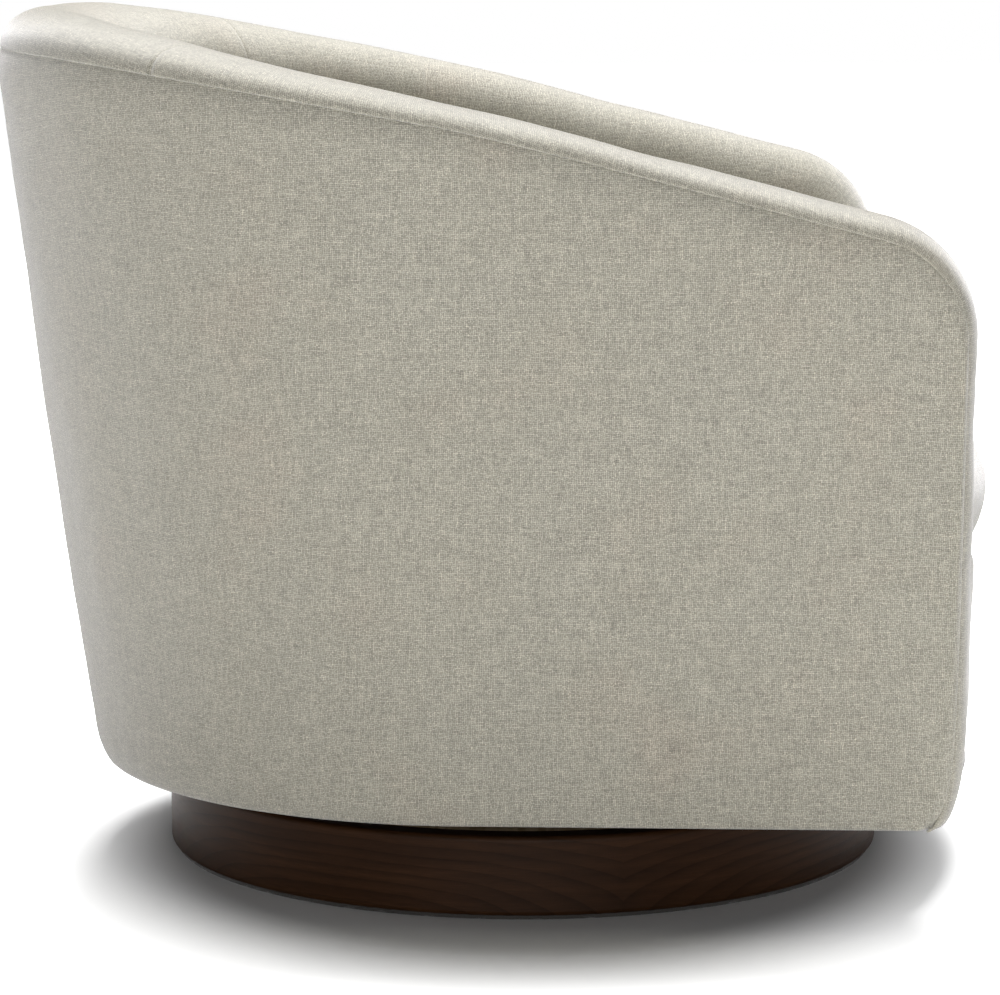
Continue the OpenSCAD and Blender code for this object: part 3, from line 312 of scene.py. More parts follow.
# ---------------------------------------------------------------- materials
class Tree:
    """Short calls for building a shader."""

    def __init__(self, name):
        self.mat = bpy.data.materials.new(name)
        self.mat.use_nodes = True
        self.t = self.mat.node_tree
        self.bsdf = self.t.nodes["Principled BSDF"]

    def add(self, kind, ins=None, out=0, **props):
        n = self.t.nodes.new(kind)
        for k, v in props.items():
            setattr(n, k, v)
        for k, v in (ins or {}).items():
            self.set(n.inputs[k], v)
        return n.outputs[out]

    def set(self, socket, v):
        if isinstance(v, bpy.types.NodeSocket):
            self.t.links.new(v, socket)
        else:
            socket.default_value = v

    def m(self, op, a, b=0.0, c=0.0, clamp=False):
        return self.add("ShaderNodeMath", {0: a, 1: b, 2: c}, operation=op, use_clamp=clamp)

    def noise(self, vec, scale, detail=2.0, rough=0.5, out=0, dist=0.0):
        return self.add("ShaderNodeTexNoise", {"Vector": vec, "Scale": scale, "Detail": detail,
                                               "Roughness": rough, "Distortion": dist}, out)

    def vec(self, x, y, z=0.0):
        return self.add("ShaderNodeCombineXYZ", {0: x, 1: y, 2: z})

    def ramp(self, fac, stops):
        n = self.t.nodes.new("ShaderNodeValToRGB")
        self.set(n.inputs[0], fac)
        e = n.color_ramp.elements
        while len(e) < len(stops):
            e.new(0.5)
        for el, (p, c) in zip(e, stops):
            el.position = p
            el.color = (*c, 1)
        return n.outputs[0]

    def mix(self, fac, a, b, blend="MIX"):
        n = self.t.nodes.new("ShaderNodeMix")
        n.data_type, n.blend_type = "RGBA", blend
        self.set(n.inputs[0], fac)
        for k, v in ((6, a), (7, b)):
            self.set(n.inputs[k], v if isinstance(v, bpy.types.NodeSocket) else (*v, 1))
        return n.outputs[2]

    def bump(self, height, dist, strength=1.0, normal=None):
        ins = {"Height": height, "Distance": dist, "Strength": strength}
        if normal is not None:
            ins["Normal"] = normal
        return self.add("ShaderNodeBump", ins)

    def surface(self, **sockets):
        for k, v in sockets.items():
            k = k.replace("_", " ")
            if isinstance(v, tuple) and len(v) == 3:
                v = (*v, 1)
            self.set(self.bsdf.inputs[k], v)
        return self.mat


def coords(t):
    """Object coordinates, in metres."""
    return t.add("ShaderNodeTexCoord", out=3)


def woven(name, pitch, light, contrast=1.0, slub=1.0, sheen=0.5, depth=0.0005, uv=True, blotch=0.05):
    """A plain two-way weave: round threads over and under, with slubs along single threads."""
    t = Tree(name)
    if uv:
        base = t.add("ShaderNodeUVMap", uv_map="weave")
    else:
        base = coords(t)
    sep = t.t.nodes.new("ShaderNodeSeparateXYZ")
    t.set(sep.inputs[0], base)
    u, v = sep.outputs[0], sep.outputs[1]
    # threads wander a little, over a hand's width and again over a few threads
    for scale, reach in ((60, 0.8), (260, 1.5)):
        shift_u = t.m("SUBTRACT", t.noise(t.vec(t.m("ADD", u, 1.3), v), scale, 1), 0.5)
        shift_v = t.m("SUBTRACT", t.noise(t.vec(t.m("ADD", v, 3.7), u), scale, 1), 0.5)
        u, v = (t.m("MULTIPLY_ADD", d, pitch * reach, w) for d, w in ((shift_u, u), (shift_v, v)))
    a, b = t.m("DIVIDE", u, pitch), t.m("DIVIDE", v, pitch)
    fa, fb = t.m("FLOOR", a), t.m("FLOOR", b)
    # slubs: one value along each thread, in short and long lengths
    wa = t.noise(t.vec(t.m("MULTIPLY", fa, 3.37), t.m("MULTIPLY", v, 45), 1.0), 1.0, 2, 0.65)
    wb = t.noise(t.vec(t.m("MULTIPLY", fb, 3.37), t.m("MULTIPLY", u, 45), 7.0), 1.0, 2, 0.65)
    sa = t.m("ABSOLUTE", t.m("SINE", t.m("MULTIPLY", a, math.pi)))
    sb = t.m("ABSOLUTE", t.m("SINE", t.m("MULTIPLY", b, math.pi)))
    over_a = t.m("COSINE", t.m("MULTIPLY", t.m("ADD", t.m("SUBTRACT", b, 0.5), fa), math.pi))
    over_a = t.m("MULTIPLY_ADD", over_a, 0.5, 0.5)
    over_b = t.m("COSINE", t.m("MULTIPLY", t.m("ADD", t.m("ADD", a, fb), 0.5), math.pi))
    over_b = t.m("MULTIPLY_ADD", over_b, 0.5, 0.5)
    ha = t.m("MULTIPLY", t.m("POWER", sa, 0.6), t.m("MULTIPLY_ADD", over_a, 0.75, 0.25))
    hb = t.m("MULTIPLY", t.m("POWER", sb, 0.6), t.m("MULTIPLY_ADD", over_b, 0.75, 0.25))
    ha = t.m("MULTIPLY", ha, t.m("MULTIPLY_ADD", wa, 0.5 * slub, 1 - 0.25 * slub))
    hb = t.m("MULTIPLY", hb, t.m("MULTIPLY_ADD", wb, 0.5 * slub, 1 - 0.25 * slub))
    height = t.m("MAXIMUM", ha, hb)
    first = t.m("GREATER_THAN", ha, hb)
    # shade of the thread that is on top
    shade = t.m("ADD", t.m("MULTIPLY", first, wa), t.m("MULTIPLY", t.m("SUBTRACT", 1.0, first), wb))
    shade = t.m("MULTIPLY_ADD", t.m("SUBTRACT", shade, 0.5), 1.5 * slub, 1.0)
    # painted shade: the colour darkens where the threads lie low, in the hollows between them
    hollow_shade = t.add("ShaderNodeMapRange", {0: height, 1: 0.18, 2: 0.82, 3: 1 - 0.86 * contrast, 4: 1.18})
    fine = t.noise(t.vec(u, v), 900, 2)
    # each crossing of two threads is painted a little lighter or darker than its neighbours: painted light and shade
    # standing in for crossings that lie a little higher or lower
    cross = t.add("ShaderNodeTexWhiteNoise", {"Vector": t.vec(fa, fb)}, noise_dimensions="2D")
    shade = t.m("MULTIPLY", t.m("MULTIPLY", shade, hollow_shade), t.m("MULTIPLY_ADD", fine, 0.40, 0.80))
    shade = t.m("MULTIPLY", shade, t.m("MULTIPLY_ADD", cross, 0.46 * contrast, 1 - 0.23 * contrast))
    tint = t.noise(t.vec(u, v, 5.0), 9, 3)
    colour = t.mix(t.m("MULTIPLY", shade, 0.5, clamp=True), (0.0, 0.0, 0.0),
                   (light[0] * 2, light[1] * 2, light[2] * 2))
    warm = t.ramp(tint, [(0.35, (1.0 - blotch * 0.2, 1.0, 1.0 + blotch * 0.3)), (0.55, (1, 1, 1)),
                         (0.72, (1 + blotch, 1 - blotch * 0.3, 1 - blotch * 0.6))])
    colour = t.mix(1.0, colour, warm, "MULTIPLY")
    fuzz = t.m("ADD", height, t.m("MULTIPLY", fine, 0.5))
    return t.surface(Base_Color=colour, Roughness=0.9, Sheen_Weight=sheen, Sheen_Roughness=0.45,
                     Sheen_Tint=(0.98, 0.97, 1.0), Specular_IOR_Level=0.15,
                     Normal=t.bump(fuzz, depth))


def fibre(name, light, dark, scale=60.0, rough=0.95, depth=0.0006, pores=0.0, sheen=0.2):
    """Foam, felt and wadding: mottled, with pores or matted fibres."""
    t = Tree(name)
    o = coords(t)
    big = t.noise(o, scale * 0.3, 3)
    small = t.noise(o, scale * 12, 3, 0.7)
    mixed = t.m("ADD", t.m("MULTIPLY", big, 0.45), t.m("MULTIPLY", small, 0.55))
    colour = t.ramp(mixed, [(0.30, dark), (0.62, light)])
    height = small
    if pores:
        # painted shade: the colour darkens in the pores, which also sink in the bump
        cells = t.add("ShaderNodeTexVoronoi", {"Vector": o, "Scale": scale * 14})
        pore_shade_and_depth = t.add("ShaderNodeMapRange", {0: cells, 1: 0.05, 2: 0.35, 3: 1 - pores, 4: 1.0})
        colour = t.mix(1.0, colour, t.add("ShaderNodeCombineColor", {0: pore_shade_and_depth, 1: pore_shade_and_depth, 2: pore_shade_and_depth}), "MULTIPLY")
        height = t.m("ADD", height, pore_shade_and_depth)
    return t.surface(Base_Color=colour, Roughness=rough, Sheen_Weight=sheen, Normal=t.bump(height, depth))


def timber(name, light, dark, along=(3, 40, 40), rough=0.6, depth=0.0002, layers=0.0, coat=0.0):
    """Grain that runs along one axis, with growth rings and pores."""
    t = Tree(name)
    o = coords(t)
    mapped = t.add("ShaderNodeMapping", {0: o, 3: along})
    warp = t.noise(mapped, 1.0, 4, 0.6, out=0, dist=0.6)
    rings = t.m("SINE", t.m("MULTIPLY", warp, 42.0))
    rings = t.m("MULTIPLY_ADD", rings, 0.5, 0.5)
    fine = t.noise(t.add("ShaderNodeMapping", {0: o, 3: tuple(12 * k for k in along)}), 1.0, 3, 0.7)
    f = t.m("ADD", t.m("MULTIPLY", rings, 0.45), t.m("MULTIPLY", fine, 0.55))
    if layers:
        sep = t.t.nodes.new("ShaderNodeSeparateXYZ")
        t.set(sep.inputs[0], o)
        ply = t.m("FRACT", t.m("DIVIDE", sep.outputs[2], layers * 2))
        f = t.m("ADD", t.m("MULTIPLY", f, 0.8), t.m("MULTIPLY", t.m("GREATER_THAN", ply, 0.5), 0.2))
    colour = t.ramp(f, [(0.25, dark), (0.75, light)])
    r = t.m("MULTIPLY_ADD", fine, 0.2, rough - 0.1)
    return t.surface(Base_Color=colour, Roughness=r, Normal=t.bump(f, depth), Coat_Weight=coat, Coat_Roughness=0.3)


def walnut():
    """Dark stained veneer round the plinth: cathedral arcs in straight grain, under satin lacquer."""
    t = Tree("walnut")
    sep = t.t.nodes.new("ShaderNodeSeparateXYZ")
    t.set(sep.inputs[0], coords(t))
    x, y, z = sep.outputs
    angle = t.m("ARCTAN2", y, x)
    # one veneer leaf meets the next every quarter turn, each mirrored
    leaf = t.m("PINGPONG", t.m("MULTIPLY", t.m("ADD", angle, 0.55), PLINTH_R / 1000), PLINTH_R / 1000 * math.pi / 4)
    wander = t.noise(t.vec(t.m("MULTIPLY", leaf, 3.0), t.m("MULTIPLY", z, 6), 0.3), 1.0, 3, 0.55)
    # cathedral: distance from a stretched centre line
    cx = t.m("MULTIPLY", t.m("SUBTRACT", leaf, 0.02), 0.28)
    cz = t.m("SUBTRACT", z, -0.012)
    dist = t.m("SQRT", t.m("ADD", t.m("MULTIPLY", cx, cx), t.m("MULTIPLY", cz, cz)))
    rings = t.m("FRACT", t.m("ADD", t.m("MULTIPLY", dist, 120.0), t.m("MULTIPLY", wander, 3.2)))
    line = t.m("POWER", rings, 3.0)
    pores = t.noise(t.vec(t.m("MULTIPLY", leaf, 60.0), t.m("MULTIPLY", z, 1400.0), 2.0), 1.0, 2, 0.7)
    streak = t.noise(t.vec(t.m("MULTIPLY", leaf, 7.0), t.m("MULTIPLY", z, 90.0), 9.0), 1.0, 3, 0.6)
    f = t.m("ADD", t.m("MULTIPLY", streak, 0.5), t.m("MULTIPLY", pores, 0.3))
    f = t.m("SUBTRACT", f, t.m("MULTIPLY", line, 0.16))
    colour = t.ramp(f, [(0.14, (0.010, 0.0040, 0.0014)), (0.40, (0.025, 0.0105, 0.0042)),
                        (0.62, (0.044, 0.019, 0.0078))])
    rough = t.m("MULTIPLY_ADD", pores, 0.18, 0.36)
    return t.surface(Base_Color=colour, Roughness=rough, Specular_IOR_Level=0.06,
                     Normal=t.bump(t.m("ADD", pores, t.m("MULTIPLY", line, 0.4)), 0.00012))


def metal(name, colour, rough, streaks=(400, 400, 40), mottled=0.25, depth=0.00003):
    t = Tree(name)
    o = coords(t)
    fine = t.noise(t.add("ShaderNodeMapping", {0: o, 3: streaks}), 1.0, 3, 0.7)
    spots = t.noise(o, 140, 3)
    c = t.ramp(t.m("MULTIPLY_ADD", spots, mottled, t.m("MULTIPLY", fine, 1 - mottled)),
               [(0.3, tuple(k * 0.72 for k in colour)), (0.7, colour)])
    return t.surface(Base_Color=c, Metallic=1.0, Roughness=t.m("MULTIPLY_ADD", fine, 0.22, rough - 0.1),
                     Normal=t.bump(fine, depth))


def plastic(name, colour, rough=0.45):
    t = Tree(name)
    o = coords(t)
    grain = t.noise(o, 900, 2)
    cloud = t.noise(o, 45, 2)
    c = t.ramp(cloud, [(0.3, tuple(k * 0.9 for k in colour)), (0.7, colour)])
    return t.surface(Base_Color=c, Roughness=t.m("MULTIPLY_ADD", grain, 0.2, rough - 0.1),
                     Normal=t.bump(grain, 0.00004))


LINEN = (0.438, 0.416, 0.346)
linen = woven("linen", 0.00135, LINEN, contrast=0.80, slub=0.60, sheen=0.8, depth=0.0002, blotch=0.022)
mats = {
    "linen": linen,
    "walnut": walnut(),
    "plywood": timber("plywood", (0.66, 0.50, 0.31), (0.42, 0.28, 0.14), along=(2.5, 22, 60), layers=0.0015),
    "fibreboard": fibre("fibreboard", (0.32, 0.21, 0.12), (0.20, 0.125, 0.065), 40, 0.8, 0.0002, sheen=0.0),
    "steel": metal("steel", (0.62, 0.62, 0.60), 0.38),
    "ball_steel": metal("ball_steel", (0.75, 0.75, 0.76), 0.16, (60, 60, 60), 0.5, 0.00001),
    "cage_plastic": plastic("cage_plastic", (0.70, 0.62, 0.38)),
    "clip_plastic": plastic("clip_plastic", (0.78, 0.74, 0.62), 0.5),
    "foam": fibre("foam", (0.86, 0.80, 0.60), (0.66, 0.59, 0.40), 60, 1.0, 0.0005, pores=0.45, sheen=0.0),
    "wadding": fibre("wadding", (0.90, 0.90, 0.87), (0.70, 0.70, 0.68), 30, 1.0, 0.0008, sheen=0.5),
    "grey_felt": fibre("grey_felt", (0.16, 0.165, 0.18), (0.06, 0.062, 0.07), 70, 1.0, 0.0007),
    "deck_cloth": woven("deck_cloth", 0.0011, (0.36, 0.34, 0.29), 0.7, 0.5, 0.2, 0.0002, uv=False),
    "black_cloth": woven("black_cloth", 0.0009, (0.014, 0.014, 0.015), 0.6, 0.3, 0.1, 0.0001, uv=False),
    "dark_felt": fibre("dark_felt", (0.035, 0.032, 0.029), (0.014, 0.013, 0.012), 70, 1.0, 0.0006),
    "zip_tape": woven("zip_tape", 0.0007, (0.40, 0.38, 0.31), 0.5, 0.2, 0.1, 0.0001, uv=False),
    "zip_teeth": plastic("zip_teeth", (0.55, 0.52, 0.44), 0.4),
}
for part in frame["record"]["subparts"]:
    ob = cad[part["node"]]
    ob.data.materials.clear()
    ob.data.materials.append(mats[part["material_slot"]])


# ---------------------------------------------------------------- outer panel
def across(share, offset, depth):
    """Grid over the shell's seam: rows of shares, offsets along the rise and depths for each station."""
    y = np.where(NAN[:, None], np.nan, Y[:, None] + UY[:, None] * offset)
    z = Z[:, None] + UZ[:, None] * offset
    a = A[:, None] + 0 * z
    return place(a, y, z, (SEAM_IN + depth) * (1 - share) + (thick(a, z) - depth) * share)


def down(share, start, low_z, back):
    """Heights and distances of points that are a share of the way down each station's column."""
    z0 = Z + UZ * start
    z = z0[:, None] + (low_z - z0[:, None]) * share
    y0 = Y + UY * start
    y = y0[:, None] + (low_y(back)[:, None] - y0[:, None]) * share
    return z, np.where(NAN[:, None], np.nan, y)


def outer_panel():
    start = 4.0
    shares = np.concatenate([np.linspace(0, 0.022, 6)[:-1], np.linspace(0.022, 0.09, 9)[:-1],
                             np.linspace(0.09, 0.93, 44)[:-1], np.linspace(0.93, 1, 12)])
    z, y = down(shares[None, :], start, HEM_Z, 0.0)
    y0 = np.where(NAN, 0, Y - low_y(0.0))
    long = np.hypot(np.nan_to_num(y0), Z - HEM_Z + start)[:, None]
    below = shares[None, :] * long - start
    above = z - HEM_Z
    depth = SEAM_IN * np.maximum(0, 1 - np.maximum(below, 0) / SEAM_CURVE) ** 2
    depth = depth + HEM_IN * np.maximum(0, 1 - above / HEM_CURVE) ** 2
    depth = depth + 1.9 * (1 - smooth((below + 0.5) / 3.5))
    grid = place(A[:, None] + 0 * z, y, z, depth)
    far_round = (A[:, None] - SPL) / (math.pi / 2 - SPL)
    whole = tangent_y(z) + ring_r(z) * (math.pi / 2 - SPL)
    u_back = -tangent_y(z) - ring_r(z) * (A[:, None] - SPL) + (whole - PANEL_U) * far_round ** 2
    u = PANEL_U + np.where(NAN[:, None], u_back, -along_arm(np.nan_to_num(y), z))
    fade = smooth(below / 30) * smooth(above / 30)
    rough = wobble(u, z, 170, 3) * 0.7 + wobble(u, z, 60, 4) * 0.18
    P = both(grid)
    n = grid_normals(P)
    amount = np.concatenate([(rough * fade)[:0:-1], rough * fade])
    sign = -1 if n[len(P) // 2, 30, 1] < 0 else 1
    P = P + sign * n * amount[..., None]
    # the hem turns under
    curl = P[:, -1:].copy()
    inward = -sign * n[:, -1:]
    inward[..., 2] = 0
    lip = np.concatenate([curl + inward * 1.6 + [0, 0, -0.5], curl + inward * 3.2 + [0, 0, 0.3]], 1)
    P = np.concatenate([P, lip], 1)
    UV = np.stack([u + 0 * z, z], -1)
    UV = np.concatenate([UV, UV[:, -1:] - [0, 1.7], UV[:, -1:] - [0, 3.3]], 1)
    left = UV[:0:-1].copy()
    left[..., 0] *= -1
    UV = np.concatenate([left, UV])
    ob = skin("outer_panel", P, COVER_T, UV, outward=sign)
    return put(ob, "seat", "linen", mats["linen"], "outer_cover", form=0.5)


def inner_panel():
    t1 = np.radians(np.concatenate([[0, 3, 7, 12, 18], np.linspace(25, 90, 14)]))
    t2 = np.radians(np.linspace(90 / 22, 90, 22))
    share1, off1 = (1 - np.cos(t1)) / 2, np.sin(t1)
    share2, off2 = (1 + np.sin(t2)) / 2, 1 - np.cos(t2)
    offset = np.concatenate([RISE[:, None] * off1[None], RISE[:, None] - DROP[:, None] * off2[None]], 1)
    share = np.concatenate([share1, share2])[None] + 0 * offset
    # the folded edge along the outer seam stands a little proud of the panel below it
    lips = np.array([[-0.3, 2.2], [-1.5, 0.9], [-1.9, -0.1], [-1.5, -0.95], [-0.6, -1.2]])
    roll = across(share, offset, -1.1 * np.exp(-np.maximum(offset, 0) / 3.5) * (share < 0.4))
    lip = across(np.zeros((len(S), 5)), np.repeat(lips[None, :, 0], len(S), 0), np.repeat(lips[None, :, 1], len(S), 0))
    shares = np.linspace(0, 1, 45)[1:]
    z0 = Z + UZ * (RISE - DROP)
    y0 = np.where(NAN, np.nan, Y + UY * (RISE - DROP))
    z = z0[:, None] + (TUCK_Z - z0[:, None]) * shares
    y = np.where(NAN[:, None], np.nan, y0[:, None] + (low_y(FLAP_BACK)[:, None] - y0[:, None]) * shares)
    wall = place(A[:, None] + 0 * z, y, z, thick(A[:, None] + 0 * z, z))
    P = np.concatenate([lip, roll, wall], 1)
    rows = P.shape[1]
    first_wall = lip.shape[1] + roll.shape[1]
    # lengths along the columns, from the bottom up
    seg = np.linalg.norm(np.diff(P, axis=1), axis=2)
    L = np.concatenate([np.cumsum(seg[:, ::-1], 1)[:, ::-1], np.zeros((len(S), 1))], 1)
    last = int(np.where(SH == 0)[0][-1])
    u = U[:, None] + 0 * L
    v = L.copy()
    arc = U - U[last]
    turn_len = SEAM_R * (math.pi / 2 - FALL)
    x = np.clip(arc / turn_len, 0, 1)
    shift = -math.tan(FALL) * turn_len * (x - x * x / 2)
    v[last + 1:] = L[last][None, :] + shift[last + 1:, None]
    u2 = U[last] + (Y[last] - np.nan_to_num(P[..., 1]))
    v2 = P[..., 2] - P[last, -1, 2] + L[last, -1]
    UV = np.stack([u, v], -1)
    UV2 = np.stack([u2, v2], -1)
    use2 = np.zeros(L.shape, bool)
    use2[last + 1:, first_wall - 1:] = True
    both_p = both(P)
    n = grid_normals(both_p)
    sign = 1 if n[len(both_p) // 2, first_wall - 19, 2] > 0 else -1
    # loose rise and fall of the padding, and the sewn seams down the back's corners
    soft = wobble(u, L, 190, 11) * 0.9 + wobble(u, L, 70, 12) * 0.25
    d = (A - CROSS) * CROSS_R
    d = np.where(NAN, d, 999)[:, None]
    groove = -1.5 * np.exp(-(d / 1.3) ** 2) + 0.5 * np.exp(-((np.abs(d) - 5) / 3.5) ** 2)
    step = np.arange(rows)
    on = (smooth((step - 2) / 3.0) * (0.22 + 0.78 * np.exp(-((step - 7) / 3.5) ** 2)))[None]
    amount = soft * smooth((step - 5) / 10)[None] + groove * on
    amount = np.concatenate([amount[:0:-1], amount])
    both_p = both_p + sign * n * amount[..., None]

    def mirror(g):
        left = g[:0:-1].copy()
        if g.ndim == 3:
            left[..., 0] *= -1
        return np.concatenate([left, g])
    ob = skin("inner_panel", both_p, COVER_T, mirror(UV), mirror(UV2), mirror(use2), outward=sign)
    return put(ob, "seat", "linen", mats["linen"], "inner_cover", form=0.7)


outer_panel()
inner_panel()


# ---------------------------------------------------------------- front rail cover
def front_half(z):
    y = HEM_FRONT_Y + FLAP_BACK
    return arm_x(y, z) - thick(SPL, z) / math.cos(SPL) - 2.4


def front_swell(z):
    """How far the front rail's padding stands out at a height, more at the top than at the hem."""
    swell = 2.4 * np.exp(-((z - 232) / 34.0) ** 2) - 3.0 * np.exp(-((z - 92) / 26.0) ** 2)
    return swell * np.clip((DECK_Z - z) / 10.5, 0, 1)


def front_cover():
    """Wall between the arms that turns over a rounded edge into a narrow top."""
    edge = FRONT_FOAM_T + COVER_T
    z_wall = np.concatenate([[HEM_Z], np.linspace(HEM_Z + 3, DECK_Z - 14, 26)])
    r_wall = np.full(len(z_wall), BOW_R)
    turn = np.radians(np.linspace(6, 90, 14))
    z_edge = DECK_Z - 14 + edge * np.sin(turn)
    r_edge = BOW_R - 14 + edge * np.cos(turn)
    r_top = BOW_R - np.linspace(17, 44.5, 8)
    z_top = np.full(8, DECK_Z)
    z = np.concatenate([z_wall, z_edge, z_top])
    r = np.concatenate([r_wall, r_edge, r_top])
    length = np.concatenate([[0], np.cumsum(np.hypot(np.diff(z), np.diff(r)))])
    k = np.linspace(-1, 1, 97)
    half = front_half(z)
    x = k[:, None] * half[None, :]
    bulge = front_swell(z)
    across_fade = 1 - np.abs(k[:, None]) ** 6
    rr = r[None, :] + bulge[None, :] * across_fade
    y = BOW_Y - np.sqrt(np.maximum(rr ** 2 - x ** 2, 1))
    zz = z[None, :] + 0 * x
    u = np.arcsin(x / BOW_R) * BOW_R
    v = length[None, :] + 0 * x
    y = y + wobble(u, v, 130, 21) * 0.35 * np.minimum(1, length / 20)[None, :]
    P = np.stack([x, y, zz], -1)
    n = grid_normals(P)
    sign = 1 if n[48, 5, 1] < 0 else -1
    return skin("front_cover", P, COVER_T, np.stack([u, v], -1), outward=sign)


put(front_cover(), "seat", "linen", mats["linen"], "front_rail_cover", form=0.5)

# ---------------------------------------------------------------- padding under the covers
SKIN_IN = COVER_T + FOAM_GAP
PANEL_Y = -283.0
OUTER_BOARD_IN = COVER_T + 1.2 + WADDING_T + FOAM_GAP
FOAM_IN = OUTER_BOARD_IN + BOARD_T + FOAM_GAP + 2.4 * 3 + 28 + BOARD_T + FOAM_GAP


def layer(name, outer_in, inner_in, low, seed):
    """A layer of the shell between two depths; a negative depth lies over the inner face."""
    keep = SH < 1.4 / 14
    shares = np.linspace(0, 1, 44)
    z, y = down(shares[None, :], -SEAM_CURVE - 6, low, 0.0)
    z, y, a, u = z[keep], y[keep], (A[:, None] + 0 * z)[keep], (U[:, None] + 0 * z)[keep]
    lump = 0.12 * wobble(u, z, 26, seed)
    sides = []
    for depth, way in ((inner_in, -1), (outer_in, 1)):
        d = thick(a, z) + depth if depth < 0 else depth
        sides.append(both(place(a, y, z, d + way * (lump + 0.12))))
    return solid(name, np.concatenate([sides[0], sides[1][:, ::-1]], 1))


put(layer("back_wadding", COVER_T + 1.2, COVER_T + 1.2 + WADDING_T, HEM_Z + HEM_CURVE + 12, 5),
    "seat", "wadding", mats["wadding"], "outer_wadding", form=0.4)
put(layer("inner_pad", FOAM_IN, -SKIN_IN, TUCK_Z, 6), "seat", "foam", mats["foam"], "inner_foam", form=0.8)


def roll_pad():
    keep = np.arange(len(S)) < len(S) - 9
    t = np.radians(np.linspace(0, 90, 9))
    share = np.concatenate([(1 - np.cos(t)) / 2, (1 + np.sin(t[1:-1])) / 2])
    rise, drop = RISE[:, None] - SKIN_IN, DROP[:, None] - SKIN_IN
    offset = np.concatenate([rise * np.sin(t)[None], rise - drop * (1 - np.cos(t[1:-1]))[None]], 1)
    arch = across(share[None] + 0 * offset, offset, SKIN_IN)
    foot = across(np.array([[0.0, 0.93]]) + np.zeros((len(S), 1)), np.zeros((len(S), 2)), SKIN_IN)
    top = ARM_H + arch[:, 0, 1] * np.where(arch[:, 0, 1] < 0, math.tan(FALL), REAR_RISE)
    room = np.where(UZ > 0.01, 28.8, np.minimum(28.8, PANEL_Y - 1.2 - np.nan_to_num(Y)))
    for k in range(2):
        foot[:, k, 2] = np.where(NAN, np.minimum(top, BACK_H) - 46 + 1.2, Z - UZ * room)
        foot[:, k, 1] = np.where(NAN, foot[:, k, 1], np.nan_to_num(Y) - UY * room)
    rings = np.concatenate([arch[:, ::-1], foot], 1)[keep]
    return solid("roll_pad", both(rings))


put(roll_pad(), "seat", "foam", mats["foam"], "roll_foam", form=0.8)


def front_pad():
    outer_r, top = BOW_R - COVER_T - 0.3, DECK_Z - COVER_T - 0.3
    edge = FRONT_FOAM_T - 0.3
    turn = np.radians(np.linspace(0, 90, 9))
    r = np.concatenate([[outer_r] * 12, outer_r - edge + edge * np.cos(turn[1:]), [outer_r - 18] * 2,
                        [outer_r - 12] * 12])
    z = np.concatenate([np.linspace(82, top - edge, 12), top - edge + edge * np.sin(turn[1:]), [top, 240.3],
                        np.linspace(240.2, 82, 12)])
    k = np.linspace(-1, 1, 80)[:, None]
    x = k * (front_half(z) - 0.4)[None, :]
    outside = (r > outer_r - 6) & (z < top - 1)
    follow = outside * (front_swell(z) - 0.8)
    rr = (r + follow)[None, :]
    y = BOW_Y - np.sqrt(rr ** 2 - x ** 2)
    return solid("front_pad", np.stack([x, y, z[None, :] + 0 * x], -1))


put(front_pad(), "seat", "foam", mats["foam"], "front_rail_foam", form=0.8)


def refined(name, node, step, lift, seed):
    """A CAD sheet cut into a fine grid, with a soft rise and fall."""
    me = cad[node].data.copy()
    bm = bmesh.new()
    bm.from_mesh(me)
    bmesh.ops.remove_doubles(bm, verts=bm.verts, dist=1e-6)
    low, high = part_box(node)
    for axis in (0, 1):
        n = [0, 0, 0]
        n[axis] = 1
        at = low[axis] + step / 2
        while at < high[axis]:
            co = [0, 0, 0]
            co[axis] = at
            bmesh.ops.bisect_plane(bm, geom=bm.verts[:] + bm.edges[:] + bm.faces[:], plane_co=co, plane_no=n)
            at += step
    co = np.array([v.co for v in bm.verts]) * 1000
    dz = wobble(co[:, 0], co[:, 1], 70, seed) * lift
    for v, d in zip(bm.verts, dz):
        v.co.z += float(d)
    bm.to_mesh(me)
    bm.free()
    me.name = name
    me.set_sharp_from_angle(angle=math.radians(40))
    for layer_ in list(me.uv_layers):
        me.uv_layers.remove(layer_)
    ob = bpy.data.objects.new(name, me)
    scene.collection.objects.link(ob)
    return ob


deck = put(refined("deck_sheet", "deck_cloth", 0.014, 0.00012, 31), "seat", "deck_cloth",
           mats["deck_cloth"], "deck_cloth")
put(refined("deck_felt_pad", "deck_felt", 0.014, 0.0001, 32), "seat", "grey_felt",
    mats["grey_felt"], "deck_felt", form=0.3)
dust = put(refined("dust_sheet", "dust_cover", 0.014, 0.0001, 33), "seat", "black_cloth",
           mats["black_cloth"], "dust_cover")
put(refined("foot_felt", "floor_felt", 0.02, 0.0, 34), "base", "dark_felt", mats["dark_felt"], "floor_felt", form=1.0)

# ---------------------------------------------------------------- cushion
CORNER_C = (207.305, -277.22)
CORNER_IN_R, FRONT_R = 60, 620
BOW_C = 243.0
SIM_FRAMES, SIM_AROUND, AROUND = 20, 96, 320
SMOOTHING = 60


